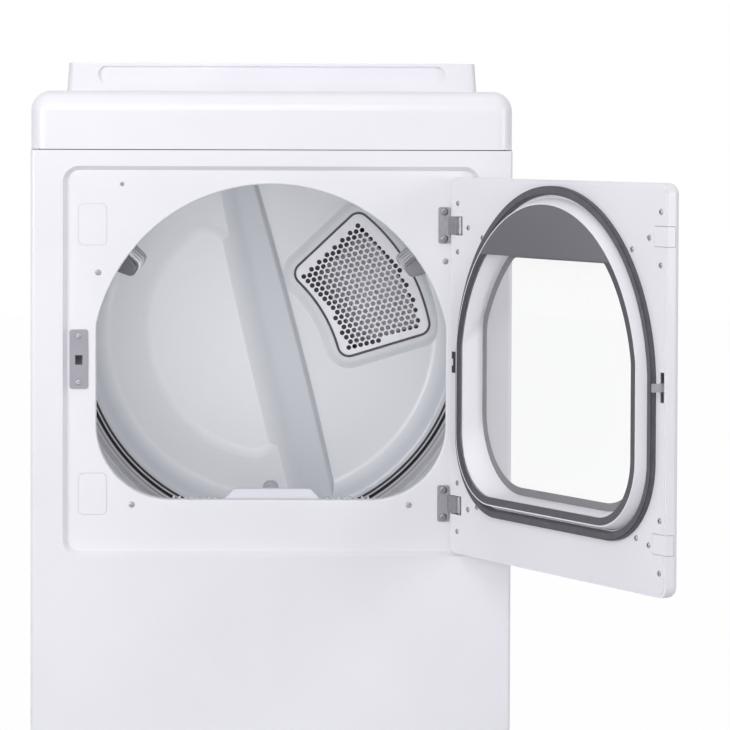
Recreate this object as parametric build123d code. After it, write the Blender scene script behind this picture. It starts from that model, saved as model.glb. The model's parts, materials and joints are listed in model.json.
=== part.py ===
from build123d import *
from math import cos, hypot, radians, sin, sqrt
import os

# Free-standing vented clothes dryer with its door open.
# Frame: origin on the floor in the middle of the four feet, +X to the right as seen from the
# front, +Y from front to back, +Z up. The door is drawn closed and then swung to its rest place.

os.makedirs("parts", exist_ok=True)

# ---- Driving dimensions, mm -------------------------------------------------------------------
WIDTH = 686.0
HALF_W = WIDTH / 2
FRONT_Y = -350.0
BACK_Y = 350.0
BASE_Z = 24.0
SEAM_Z = 902.0
CREST_Z = 985.0
SHEET = 1.2
MOULD = 2.5
RUN = 0.05          # radial clearance of a shaft in its hole
GAP = 0.3           # space between moving curved faces

# Front panel
FRONT_FLANGE = 24.0
FRONT_EDGE_R = 6.0
SIDE_FLANGE = 18.0
RECESS_W = 594.0
RECESS_H = 556.0
RECESS_Z = 600.0
RECESS_R = 23.0
RECESS_DEPTH = 12.0
RECESS_DRAFT = 6.0
FLOOR_Y = FRONT_Y + RECESS_DEPTH
# Outlines with a round top, upright sides and round lower corners:
# (half width, top radius, height of the top radius's centre, lower edge, lower corner radius)
OPENING = (250.0, 255.5, 597.0, 400.8, 107.0)
OPENING_FLANGE = 16.0
COVER_X = -255.0
COVER_Z = (794.7, 409.4)
COVER_W = 40.0
COVER_H = 59.0
STRIKE_X = -274.5
STRIKE_Z = 602.0
STRIKE_W = 26.6
STRIKE_H = 85.0
SWITCH_X = -213.0
SWITCH_Z = 852.0

# Drum
DRUM_Z = 607.0
DRUM_R = 318.0
NECK_R = 303.0
RING_R = 299.0
DRUM_FRONT_Y = -289.0
DRUM_BACK_Y = 275.0
NECK_LENGTH = 21.0
CONE_LENGTH = 15.0
BULKHEAD_FRONT_Y = -296.0
BULKHEAD_BACK_Y = 290.0
DISH_Y = 284.0
DISH_R = 263.0
DISH_RIM_R = 292.0
LIFTER_TIP_R = 226.0
LIFTER_ANGLES = (30.0, 150.0, 270.0)

# Door, closed
DOOR_Z = 595.5
PANEL_Y = FLOOR_Y - 7.7
PANEL_W = 558.0
PANEL_H = 526.0
SKIN_W = 568.0
SKIN_H = 536.0
SKIN_DEPTH = 21.0
SKIN_EDGE_R = 10.0
HINGE_X = 270.0
HINGE_Y = PANEL_Y - 9.0
HINGE_SPREAD = 199.0
DOOR_OPEN = 116.4
PIN_R = 3.0
GASKET = (258.5, 259.0, 596.5, 390.0, 112.0)
GASKET_W = 12.0
GASKET_H = 7.4
BOWL_RIM = (237.0, 240.0, 592.0, 408.5, 95.0)
BOWL_H = 17.6
OUTER_WINDOW = (210.0, 227.0, 570.0, 435.0, 100.0)
OUTER_WINDOW_TOP = 754.0
BORDER_W = 12.0
MASK_LOW_Z = 758.0
GLASS = 3.5
FRIT = 0.6
LATCH_X = -273.5
LATCH_Z = 600.0
LATCH_PIN_R = 2.5

# Driveline
MOTOR_X = -158.0
MOTOR_Z = 138.0
MOTOR_R = 60.0
SHAFT_R = 6.0
PULLEY_R = 14.0
BELT_Y = 75.0
BELT_W = 10.0
BELT_T = 2.5
IDLER_X = 60.0
IDLER_Z = 192.0
IDLER_R = 30.0
IDLER_PIVOT = (148.0, 250.0)
ROLLER_R = 38.0
ROLLER_W = 22.0
ROLLER_Y = 214.0
ROLLER_ANGLE = 38.0
AXLE_R = 6.0

# Air path
EXHAUST_R = 50.8
PIPE_R = 50.0
EXHAUST_Z = 92.0
EXHAUST_Y = 382.0
EXHAUST_BEND = 58.0
STUB_FRONT_Y = 286.0
STUB_CUT = (124.0, 112.0)
STUB_CUT_Z = 94.0
BLOWER_R = 98.0
BLOWER_FRONT_Y = -301.0
BLOWER_BACK_Y = -201.0
WHEEL_R = 84.0
SCROLL_OUTLET = 98.0
FILTER_X = 2.0
FILTER_W = 144.0
FILTER_LOW_Z = 245.0
DUCT_FRONT_Y = -321.0
DUCT_BACK_Y = -301.0

# Console and feet
CONSOLE_FRONT_Y = 250.0
CONSOLE_BACK_Y = 346.0
CONSOLE_Z = 1035.0
CONSOLE_W = (652.0, 645.0)
WELL_DEPTH = 11.0
FOOT_X = 290.0
FOOT_Y = 300.0
FOOT_R = 22.0
FOOT_H = 14.0
STUD_R = 5.0


# ---- Helpers ----------------------------------------------------------------------------------
def facing(y):
    """Plane square to Y, seen from the front: sketch x is +X and sketch y is +Z."""
    return Plane(origin=(0, y, 0), x_dir=(1, 0, 0), z_dir=(0, -1, 0))


def slab(outline, y_front, y_back):
    """The outline extruded between two planes square to Y."""
    return extrude(facing(y_back) * outline, y_back - y_front, dir=(0, -1, 0))


def bridge(outline_a, y_a, outline_b, y_b):
    """Solid with straight walls between two outlines on planes square to Y."""
    return loft([facing(y_a) * outline_a, facing(y_b) * outline_b], ruled=True)


def block(x0, x1, y0, y1, z0, z1):
    """Box between its lowest and highest corners."""
    middle = Pos((x0 + x1) / 2, (y0 + y1) / 2, (z0 + z1) / 2)
    return middle * Box(x1 - x0, y1 - y0, z1 - z0)


def post(radius, x, z, y_front, y_back):
    """Round bar parallel to Y."""
    return slab(Pos(x, z) * Circle(radius), y_front, y_back)


def upright(radius, x, y, z_low, z_high):
    """Round bar parallel to Z."""
    return Pos(x, y, (z_low + z_high) / 2) * Cylinder(radius, z_high - z_low)


def turned(outline, x, z):
    """A closed (radius, y) outline turned about an axis parallel to Y."""
    face = Pos(x, 0, z) * make_face(Polyline(*outline, close=True))
    return revolve(face, Axis((x, 0, z), (0, 1, 0)))


def bent_sheet(points, thickness):
    """Closed outline of a bent sheet, thickened to the left of the run of points."""
    normals = []
    for (x0, y0), (x1, y1) in zip(points, points[1:]):
        length = hypot(x1 - x0, y1 - y0)
        normals.append(((y0 - y1) / length, (x1 - x0) / length))
    sides = [normals[0]]
    for (ax, ay), (bx, by) in zip(normals, normals[1:]):
        share = 1 + ax * bx + ay * by
        sides.append(((ax + bx) / share, (ay + by) / share))
    sides.append(normals[-1])
    far = [(x + thickness * nx, y + thickness * ny) for (x, y), (nx, ny) in zip(points, sides)]
    return list(points) + far[::-1]


def round_top(shape, grow=0.0):
    """Outline with a round top cut off by upright sides, and round lower corners."""
    half, arc_r, arc_z, low_z, corner_r = shape
    half += grow
    arc_r += grow
    low_z -= grow
    corner_r += grow
    shoulder = arc_z + sqrt(arc_r**2 - half**2)
    low = low_z + corner_r
    bow = corner_r * (1 - sqrt(0.5))
    edges = [
        ThreePointArc((half, shoulder), (0, arc_z + arc_r), (-half, shoulder)),
        Line((-half, shoulder), (-half, low)),
        ThreePointArc((-half, low), (-half + bow, low_z + bow), (-half + corner_r, low_z)),
        Line((-half + corner_r, low_z), (half - corner_r, low_z)),
        ThreePointArc((half - corner_r, low_z), (half - bow, low_z + bow), (half, low)),
        Line((half, low), (half, shoulder)),
    ]
    face = Face(Wire(edges))
    corners = [v for v in face.vertices() if abs(v.Y - shoulder) < 0.01]
    return face.fillet_2d(60 + grow, corners)


def edges_at_y(shape, y, inside=None):
    """Edges that lie in a plane square to Y, if asked only those within a half width of the middle."""
    found = []
    for edge in shape.edges():
        box = edge.bounding_box()
        flat = abs(box.min.Y - y) < 0.01 and abs(box.max.Y - y) < 0.01
        if flat and (inside is None or max(-box.min.X, box.max.X) < inside):
            found.append(edge)
    return found


def on_hinge_side(shape):
    """Swings a door piece from closed to its rest place."""
    return shape.rotate(Axis((HINGE_X, HINGE_Y, 0), (0, 0, 1)), DOOR_OPEN)


def save(node, *pieces):
    """Writes one node: one solid, or a group of separate ones."""
    solids = [solid for piece in pieces for solid in piece.solids()]
    shape = solids[0] if len(solids) == 1 else Compound(solids)
    export_step(shape, f"parts/{node}.step")


# ---- Cabinet shell ----------------------------------------------------------------------------
def front_form(inset):
    """Solid behind the front panel's face; the panel is the space between two such forms."""
    low, high = BASE_Z + 2 + inset, SEAM_Z - 1.2 - inset
    back = FRONT_Y + FRONT_FLANGE + (20 if inset else 0)
    form = block(-HALF_W + inset, HALF_W - inset, FRONT_Y + inset, back, low, high)
    uprights = form.edges().filter_by(Axis.Z).sort_by(Axis.Y)[:2]
    form = fillet(uprights, FRONT_EDGE_R - inset)
    mouth = Pos(0, RECESS_Z) * RectangleRounded(RECESS_W, RECESS_H, RECESS_R)
    draft = 2 * (RECESS_DRAFT - inset)
    floor_r = RECESS_R - RECESS_DRAFT + inset
    floor = Pos(0, RECESS_Z) * RectangleRounded(RECESS_W - draft, RECESS_H - draft, floor_r)
    if inset:
        wide = 2 * inset
        mouth = Pos(0, RECESS_Z) * RectangleRounded(RECESS_W + wide, RECESS_H + wide, RECESS_R + inset)
    form -= bridge(mouth, FRONT_Y + inset - 0.001, floor, FLOOR_Y + inset)
    return form


def front_panel():
    """Pressed front: recess, opening with an inward flange, and the cut-outs in the recess floor."""
    panel = front_form(0) - front_form(SHEET)
    panel += slab(round_top(OPENING, SHEET), FLOOR_Y, FLOOR_Y + OPENING_FLANGE)
    panel -= slab(round_top(OPENING), FRONT_Y - 1, FLOOR_Y + OPENING_FLANGE + 1)
    rim = edges_at_y(panel, FLOOR_Y, OPENING[0] + 1)
    panel = fillet(rim, 2.4)
    for z in COVER_Z:
        panel -= slab(Pos(COVER_X, z) * RectangleRounded(COVER_W + 1, COVER_H + 1, 8.5), FRONT_Y, FLOOR_Y + 4)
    panel -= slab(Pos(STRIKE_X, LATCH_Z) * Rectangle(18, 34), FRONT_Y, FLOOR_Y + 4)
    panel -= post(3.0, SWITCH_X, SWITCH_Z, FRONT_Y, FLOOR_Y + 4)
    return panel


def body_covers():
    """Blank covers that close the unused hinge places, flush in the recess floor."""
    covers = []
    for z in COVER_Z:
        face = Pos(COVER_X, z) * RectangleRounded(COVER_W, COVER_H, 8)
        cover = slab(face, FLOOR_Y - 0.4, FLOOR_Y + SHEET)
        backing = Pos(COVER_X, z) * RectangleRounded(COVER_W + 8, COVER_H + 8, 10)
        cover += slab(backing, FLOOR_Y + SHEET, FLOOR_Y + SHEET + 1.4)
        covers.append(cover)
    return covers


def side_panel(side):
    """Side wall: a tray of sheet steel with four return flanges and a vent knock-out groove."""
    y0, y1 = FRONT_Y + FRONT_FLANGE, BACK_Y - 2.0
    z0, z1 = BASE_Z + 2, SEAM_Z
    outer = block(HALF_W - SIDE_FLANGE, HALF_W, y0, y1, z0, z1)
    inner = block(HALF_W - SIDE_FLANGE - 1, HALF_W - SHEET, y0 + SHEET, y1 - SHEET, z0 + SHEET, z1 - SHEET)
    panel = outer - inner
    knock_x, knock_y, knock_z = HALF_W - SHEET / 2, 200.0, 110.0
    ring = Cylinder(55, SHEET) - Cylinder(52, SHEET)
    panel -= Pos(knock_x + SHEET / 2, knock_y, knock_z) * Rot(0, 90, 0) * ring
    return panel if side > 0 else mirror(panel, Plane.YZ)


def back_panel():
    """Rear wall with louvre slots, the exhaust hole and the terminal cut-out."""
    low, high = BASE_Z + 4, SEAM_Z - 3
    face = Pos(0, (low + high) / 2) * Rectangle(WIDTH - 4, high - low)
    face -= Pos(0, STUB_CUT_Z) * RectangleRounded(*STUB_CUT, 6)
    face -= Pos(TERMINAL_X, TERMINAL_Z) * RectangleRounded(96, 66, 6)
    for column in (-90, 90):
        for row in range(8):
            face -= Pos(column, 470 + row * 26) * Rectangle(90, 7)
    return slab(face, BACK_Y - 2.0, BACK_Y - 2.0 + SHEET)


TERMINAL_X = -245.0
TERMINAL_Z = 830.0


def terminal_block():
    """Power inlet box behind the rear wall, with three terminals, and its cover with a cord gland."""
    x, z, back = TERMINAL_X, TERMINAL_Z, BACK_Y - 2.0
    box = block(x - 50, x + 50, back - 32, back, z - 34, z + 34)
    box -= block(x - 48, x + 48, back - 30, back + 1, z - 32, z + 32)
    for offset in (-26, 0, 26):
        box += block(x + offset - 9, x + offset + 9, back - 30, back - 14, z - 12, z + 20)
    seat = back + SHEET
    cover = slab(Pos(x, z) * RectangleRounded(112, 84, 8), seat, seat + 26)
    cover = chamfer(edges_at_y(cover, seat + 26), 3)
    cover -= slab(Pos(x, z) * RectangleRounded(108, 80, 6), seat - 1, seat + 24)
    cover += upright(12, x, seat + 13, z - 48, z - 41)
    cover -= upright(8, x, seat + 13, z - 50, z - 36)
    return box, cover


def base_pan():
    """Floor tray with upturned edges, pressed stiffening ribs and four foot bosses."""
    x1, y0, y1 = HALF_W - SIDE_FLANGE, FRONT_Y + 26, BACK_Y - 6
    tray = block(-x1, x1, y0, y1, BASE_Z, BASE_Z + 16)
    tray -= block(-x1 + 1.5, x1 - 1.5, y0 + 1.5, y1 - 1.5, BASE_Z + 1.5, BASE_Z + 17)
    for y in (-160, 56, 190):
        outer = Pos(0, y, BASE_Z) * extrude(Rectangle(440, 24), 5, taper=30)
        inner = Pos(0, y, BASE_Z) * extrude(Rectangle(437, 21), 3.5, taper=30)
        tray = tray + outer - inner
    for x in (-FOOT_X, FOOT_X):
        for y in (-FOOT_Y, FOOT_Y):
            tray += upright(12, x, y, BASE_Z, BASE_Z + 10)
            tray -= upright(STUD_R + RUN, x, y, BASE_Z - 1, BASE_Z + 40)
    return tray


def levelling_foot(x, y):
    """Moulded pad with a hexagon for the spanner and a threaded stud drawn as a plain rod."""
    pad = upright(FOOT_R, x, y, 0, FOOT_H)
    pad = chamfer(pad.edges().group_by(Axis.Z)[-1], 3)
    nut = Pos(x, y, FOOT_H) * extrude(RegularPolygon(10, 6), 6)
    stud = upright(STUD_R, x, y, FOOT_H, BASE_Z + 34)
    return pad + nut + stud


# ---- Worktop and console ----------------------------------------------------------------------
TOP_BACK_Y = 349.0
TOP_CORNER_R = 22.0
CREST_R = 36.0
TOP_SIDE_R = 26.0
FIELD_DEPTH = 9.0


def top_form(inset):
    """Solid under the worktop's skin: rounded crest at the front, softer sides, sunk middle field."""
    low = SEAM_Z + (0 if inset == 0 else -5)
    form = block(-HALF_W + inset, HALF_W - inset, FRONT_Y + inset, TOP_BACK_Y - inset, low, CREST_Z - inset)
    uprights = form.edges().filter_by(Axis.Z).sort_by(Axis.Y)[:2]
    form = fillet(uprights, TOP_CORNER_R - inset)
    crest = [e for e in form.edges() if abs(e.center().Z - CREST_Z + inset) < 0.01 and e.center().Y < 200]
    form = fillet(crest, TOP_CORNER_R - inset + 6)
    wide = 2 * inset
    mouth = Pos(0, -30, CREST_Z - inset + 0.001) * RectangleRounded(596 + wide, 530 + wide, 40 + inset)
    floor = Pos(0, -30, CREST_Z - FIELD_DEPTH - inset) * RectangleRounded(572 + wide, 506 + wide, 28 + inset)
    return form - loft([mouth, floor], ruled=True)


def top_cap():
    return top_form(0) - top_form(MOULD)


def console_form(inset):
    """Solid behind the console's moulding, with the long round-ended recess in its front face."""
    depth = CONSOLE_BACK_Y - CONSOLE_FRONT_Y
    middle_y = (CONSOLE_BACK_Y + CONSOLE_FRONT_Y) / 2
    low, high = CREST_Z - (10 if inset else 0), CONSOLE_Z - inset
    wide, narrow = (w - 2 * inset for w in CONSOLE_W)
    foot = Pos(0, middle_y, low) * Rectangle(wide, depth - 2 * inset)
    head = Pos(0, middle_y, high) * Rectangle(narrow, depth - 2 * inset)
    form = loft([foot, head], ruled=True)
    leaning = [e for e in form.edges() if e.bounding_box().size.Z > 20]
    form = fillet(leaning, 12 - inset)
    slot = Pos(0, SLOT_Z) * SlotOverall(SLOT_W + 2 * inset, SLOT_H + 2 * inset)
    form -= slab(slot, CONSOLE_FRONT_Y - 5, CONSOLE_FRONT_Y + SLOT_DEPTH + inset)
    return form


SLOT_Z = 1016.8
SLOT_W = 553.0
SLOT_H = 27.0
SLOT_DEPTH = 9.0
DIAL_X = 150.0
DIAL_R = 21.0
PANEL_TOP_Z = CONSOLE_Z - WELL_DEPTH
BUTTONS = {"power_button": -215.0, "start_button": -170.0}
BUTTON_R = 9.0
CONTROL_Y = 305.0
DISPLAY = (0.0, 96.0, 30.0)


def console_housing():
    """Moulded low console: hollow, with a long opening on top for the sunk control panel."""
    housing = console_form(0) - console_form(MOULD)
    housing -= Pos(0, CONTROL_Y, CONSOLE_Z - 5) * extrude(RectangleRounded(560, 64, 10), 10)
    return housing


def control_panel():
    """Sunk tray that carries the dial, two buttons and the display window."""
    tray = Pos(0, CONTROL_Y, PANEL_TOP_Z - 2) * extrude(RectangleRounded(560, 64, 10), WELL_DEPTH - 0.2 + 2)
    tray -= Pos(0, CONTROL_Y, PANEL_TOP_Z) * extrude(RectangleRounded(556, 60, 8), WELL_DEPTH + 2)
    tray -= upright(4 + RUN, DIAL_X, CONTROL_Y, PANEL_TOP_Z - 3, PANEL_TOP_Z + 1)
    for x in BUTTONS.values():
        tray -= upright(BUTTON_R + GAP, x, CONTROL_Y, PANEL_TOP_Z - 3, PANEL_TOP_Z + 1)
    x, length, height = DISPLAY
    tray -= Pos(x, CONTROL_Y, PANEL_TOP_Z - 3) * extrude(RectangleRounded(length, height, 3), 6)
    return tray


def display_window():
    x, length, height = DISPLAY
    return Pos(x, CONTROL_Y, PANEL_TOP_Z - 1.8) * extrude(RectangleRounded(length, height, 3), 1.8)


def control_board():
    """Circuit board under the control panel, with its display module and encoder."""
    board = block(-230, 190, 284, 326, 1004, 1005.6)
    board += block(-46, 46, 292, 318, 1005.6, 1019)
    board += block(DIAL_X - 8, DIAL_X + 8, CONTROL_Y - 8, CONTROL_Y + 8, 1005.6, 1008)
    for x in (-224, 184):
        for y in (289, 321):
            board += upright(3, x, y, 1005.6, PANEL_TOP_Z - 2)
    return board


def program_dial():
    """Grip dial with a fluted edge and a short shaft."""
    knob = Pos(DIAL_X, CONTROL_Y, PANEL_TOP_Z + 0.4) * extrude(Circle(DIAL_R), 9)
    knob = chamfer(knob.edges().group_by(Axis.Z)[-1], 1.5)
    for step in range(12):
        turn = radians(step * 30)
        x, y = DIAL_X + (DIAL_R + 1) * cos(turn), CONTROL_Y + (DIAL_R + 1) * sin(turn)
        knob -= upright(2.2, x, y, PANEL_TOP_Z, PANEL_TOP_Z + 12)
    return knob + upright(4, DIAL_X, CONTROL_Y, PANEL_TOP_Z - 12, PANEL_TOP_Z + 1)


def push_button(x):
    """Round button with a stem under the panel."""
    cap = upright(BUTTON_R, x, CONTROL_Y, PANEL_TOP_Z - 4, PANEL_TOP_Z + 4)
    cap = chamfer(cap.edges().group_by(Axis.Z)[-1], 0.8)
    return cap + upright(3, x, CONTROL_Y, PANEL_TOP_Z - 14, PANEL_TOP_Z - 4)


# ---- Drum space -------------------------------------------------------------------------------
def wall_plate():
    """Outline shared by both bulkheads: as wide as the cabinet, narrower where it enters the top."""
    inner_w = WIDTH - 2 * SHEET
    low_part = Pos(0, 565) * RectangleRounded(inner_w, 650, 20)
    return Sketch() + low_part + Pos(0, 880) * RectangleRounded(inner_w - 2 * SIDE_FLANGE, 108, 20)


def front_bulkhead():
    """Plate behind the front panel: collar round the opening and the ring that the drum runs on."""
    bulkhead = slab(wall_plate(), BULKHEAD_FRONT_Y, BULKHEAD_FRONT_Y + SHEET)
    ring = [(RING_R - SHEET, BULKHEAD_FRONT_Y), (RING_R, BULKHEAD_FRONT_Y)]
    ring += [(RING_R, -268.0), (RING_R - SHEET, -268.0)]
    bulkhead += turned(ring, 0, DRUM_Z)
    bulkhead += slab(round_top(OPENING, 3.2), -320.5, BULKHEAD_FRONT_Y + SHEET)
    bulkhead -= slab(round_top(OPENING, 2.0), -325, BULKHEAD_FRONT_Y + 5)
    bulkhead -= block(COMB_X[0] - 2, COMB_X[1] + 2, -325, BULKHEAD_FRONT_Y, 390, 403)
    return bulkhead


COMB_X = (-148.0, 144.0)
COMB_Z = 398.2
TOOTH_H = 4.2
TOOTH_PITCH = 8.5


def felt_seals():
    """Felt bands on the front and rear rings, inside the necks of the drum."""
    bands = []
    for y0, y1 in ((-287.0, -269.5), (258.5, 273.0)):
        outline = [(RING_R, y0), (NECK_R - 0.4, y0), (NECK_R - 0.4, y1), (RING_R, y1)]
        bands.append(turned(outline, 0, DRUM_Z))
    return bands


def drum_shell():
    """Drum wall turned in one piece: a neck and cone at each end, and two outward beads."""
    y0, y1 = DRUM_FRONT_Y, DRUM_BACK_Y
    wall_y0, wall_y1 = y0 + NECK_LENGTH + CONE_LENGTH, y1 - NECK_LENGTH - CONE_LENGTH
    points = [(NECK_R, y0), (NECK_R, y0 + NECK_LENGTH), (DRUM_R, wall_y0)]
    for bead_y in (-150.0, 150.0):
        points += [(DRUM_R, bead_y - 12), (DRUM_R + 4, bead_y - 4), (DRUM_R + 4, bead_y + 4)]
        points += [(DRUM_R, bead_y + 12)]
    points += [(DRUM_R, wall_y1), (NECK_R, y1 - NECK_LENGTH), (NECK_R, y1)]
    return turned(bent_sheet(points, -SHEET), 0, DRUM_Z)


def lifter(angle):
    """Hollow moulded fin on the drum wall, with a round tip and raised bands across it."""
    y0, y1 = -236.0, 200.0
    root, tip = DRUM_R + 6, LIFTER_TIP_R

    def fin(grow, front, back):
        outline = Polyline(
            (tip - grow + 6, -7 - grow), (root, -30 - grow), (root, 24 + grow), (tip - grow + 6, 7 + grow),
            close=True,
        )
        face = make_face(outline)
        tip_corners = [v for v in face.vertices() if v.X < tip + 20]
        face = face.face().fillet_2d(6 + grow, tip_corners)
        return slab(face, front, back)

    body = fin(0, y0, y1)
    for step in range(5):
        front = -190.0 + step * 82
        body += fin(3, front, front + 34)
    body -= fin(-2.5, y0 + 2.5, y1 - 2.5)
    body &= post(DRUM_R - 0.1, 0, 0, y0 - 1, y1 + 1)
    turn = body.rotate(Axis((0, 0, 0), (0, 1, 0)), -angle)
    return Pos(0, 0, DRUM_Z) * turn


# Corners of the hot-air inlet, measured from the drum axis, and the middles of its curved sides.
INLET_TOP = (138.0, 198.0)
INLET_LEFT = (26.0, 92.0)
INLET_INNER = (78.0, 34.0)
INLET_LOW = (110.0, -47.0)
INLET_RIGHT = (258.0, -2.0)
INLET_OUTER = (216.0, 114.0)
INLET_PITCH = 14.7
INLET_HOLE_R = 6.7
INLET_TILT = 13.4


def inlet_face(grow=0.0):
    """Outline of the hot-air inlet: two straight sides, a hollow inner side, a bowed outer side."""

    def place(point):
        return (point[0], DRUM_Z + point[1])

    edges = [
        Line(place(INLET_TOP), place(INLET_LEFT)),
        ThreePointArc(place(INLET_LEFT), place(INLET_INNER), place(INLET_LOW)),
        Line(place(INLET_LOW), place(INLET_RIGHT)),
        ThreePointArc(place(INLET_RIGHT), place(INLET_OUTER), place(INLET_TOP)),
    ]
    face = Face(Wire(edges))
    face = face.fillet_2d(20, face.vertices())
    return offset(face, grow).face() if grow else face


def inlet_grille():
    """Perforated plate: holes in staggered rows wherever a whole hole fits inside the margin."""
    outline = inlet_face(-4)
    field = inlet_face(-16)
    row_step = INLET_PITCH * sqrt(0.75)
    tilt = radians(INLET_TILT)
    holes = []
    for row in range(-12, 13):
        for column in range(-12, 13):
            along = (column + 0.5 * (row % 2)) * INLET_PITCH
            across = row * row_step
            x = 145 + along * cos(tilt) - across * sin(tilt)
            z = DRUM_Z + 75 + along * sin(tilt) + across * cos(tilt)
            if field.is_inside((x, z, 0)):
                hole = Pos(x, z) * Rot(0, 0, INLET_TILT + 30) * RegularPolygon(INLET_HOLE_R, 6)
                holes.append(hole.wire())
    return slab(Face(outline.outer_wire(), holes), DISH_Y - 3.0, DISH_Y - 1.5)


def inlet_seal():
    """Dark seal in the groove between the grille plate and the raised edge."""
    return slab(Sketch() + inlet_face(-0.3) - inlet_face(-3.7), DISH_Y - 3.6, DISH_Y - 0.5)


RING_FRONT_Y = 257.0
# Points along the ridge's two sides, from the drum axis, and its soft profile: depth behind the
# dish, then how far in from the left and the right side the surface lies there.
RIDGE_LEFT = ((-108.0, 300.0), (-80.0, 150.0), (-24.0, -95.0), (26.0, -300.0))
RIDGE_RIGHT = ((-46.0, 300.0), (14.0, 90.0), (70.0, -128.0), (108.0, -300.0))
RIDGE_PROFILE = (
    (12.0, -6.0, -9.0), (8.0, 0.0, -7.0), (1.0, 11.0, -5.0),
    (-8.0, 25.0, -2.5), (-14.0, 36.0, 0.5), (-16.0, 46.0, 4.0),
)
# The sunk field to the left of the ridge: its radius, and its soft edge as depth and distance in.
FIELD_R = 203.0
FIELD_PROFILE = ((-1.0, -7.0), (0.5, -3.0), (4.0, 3.0), (7.0, 8.0), (8.0, 14.0))
# The lip round the hot-air inlet: height over the dish, and how far outside the inlet.
INLET_LIP = ((0.6, 20.0), (-1.0, 16.0), (-4.0, 11.5), (-5.6, 8.0), (-6.0, 4.0))


def ridge_form(inset):
    """The ridge as a solid: a smooth loft through outlines at rising heights."""
    sections = []
    for depth, left_in, right_in in RIDGE_PROFILE:
        left = [(x + left_in + inset, DRUM_Z + z) for x, z in RIDGE_LEFT]
        right = [(x - right_in - inset, DRUM_Z + z) for x, z in RIDGE_RIGHT]
        sides = [Spline(*left), Line(left[-1], right[-1]), Spline(*right[::-1]), Line(right[0], left[0])]
        sections.append(facing(DISH_Y + depth + inset) * Face(Wire(sides)))
    return loft(sections)


def field_form(inset):
    """The sunk field as a solid: part of a disc, with rounded corners under the ridge."""
    sections = []
    for depth, shrink in FIELD_PROFILE:
        disc = Pos(0, DRUM_Z) * Circle(FIELD_R - shrink - inset)
        cut = Polyline(
            (36 - shrink - inset, DRUM_Z - 240), (-92 - shrink - inset, DRUM_Z + 240),
            (-260, DRUM_Z + 240), (-260, DRUM_Z - 240), close=True,
        )
        face = (Sketch() + make_face(cut) & disc).face()
        face = face.fillet_2d(40 - shrink - inset, face.vertices())
        sections.append(facing(DISH_Y + depth + inset) * face)
    return loft(sections)


def dish_form(inset):
    """Space behind the pressed dish; the dish itself lies between two such forms."""
    rim_y = RING_FRONT_Y + inset
    floor_y = DISH_Y + inset
    deep = DISH_Y + 20
    low, high = DISH_R + inset / 2, DISH_RIM_R + inset / 2
    outline = Polyline(
        (0, deep), (0, floor_y), (low, floor_y), (high, rim_y), (RING_R, rim_y), (RING_R, deep), close=True
    )
    face = make_face(outline).face()
    face = face.fillet_2d(14, face.vertices().filter_by(lambda v: abs(v.X - low) < 0.1))
    face = face.fillet_2d(6, face.vertices().filter_by(lambda v: abs(v.X - high) < 0.1))
    form = revolve(Pos(0, 0, DRUM_Z) * face, Axis((0, 0, DRUM_Z), (0, 1, 0))) - field_form(inset)
    return form + (ridge_form(inset) & post(DISH_RIM_R - 4, 0, DRUM_Z, DISH_Y - 30, deep))


def rear_bulkhead():
    """Fixed rear wall: ring for the drum, dish, raised ridge, sunk left field and inlet opening."""
    plate = wall_plate() - Pos(0, DRUM_Z) * Circle(RING_R - 1)
    wall = slab(plate, BULKHEAD_BACK_Y - SHEET, BULKHEAD_BACK_Y)
    ring = post(RING_R, 0, DRUM_Z, RING_FRONT_Y, BULKHEAD_BACK_Y)
    wall += ring - post(RING_R - SHEET, 0, DRUM_Z, RING_FRONT_Y - 1, BULKHEAD_BACK_Y + 1)
    wall += dish_form(0) - dish_form(SHEET)
    lip = loft([facing(DISH_Y + depth) * inlet_face(grow) for depth, grow in INLET_LIP])
    wall += lip & post(DISH_R + 13, 0, DRUM_Z, DISH_Y - 40, DISH_Y + 40)
    return wall - slab(inlet_face(0), DISH_Y - 10, DISH_Y + 10)


# ---- Hot air ----------------------------------------------------------------------------------
def heater_duct():
    """Flat riser behind the rear wall from the heater box up to the inlet, open towards it."""
    back, front = 342.0, BULKHEAD_BACK_Y + 4.5
    x0, x1 = HEATER_X

    def riser(grow):
        foot = Pos((x0 + x1) / 2, HEATER_Z) * Rectangle(x1 - x0 + 2 * grow, HEATER_H + 4 + 2 * grow)
        return make_hull([*inlet_face(8 + grow).edges(), *foot.edges()])

    duct = slab(riser(0), front, back)
    duct += slab(inlet_face(6), DISH_Y + SHEET, front)
    duct -= slab(riser(-SHEET), front + SHEET, back - SHEET)
    duct -= slab(inlet_face(4), DISH_Y, front + 5)
    low, high = HEATER_Z - HEATER_H / 2, HEATER_Z + HEATER_H / 2
    duct += block(x0, x1, HEATER_Y[0], front + 0.1, low, high)
    return duct - block(x0 + 1.5, x1 - 1.5, HEATER_Y[0] - 1, front + 5, low + 1.5, high - 1.5)


HEATER_X = (172.0, 296.0)
HEATER_Y = (-60.0, 250.0)
HEATER_Z = 150.0
HEATER_H = 76.0


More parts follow.
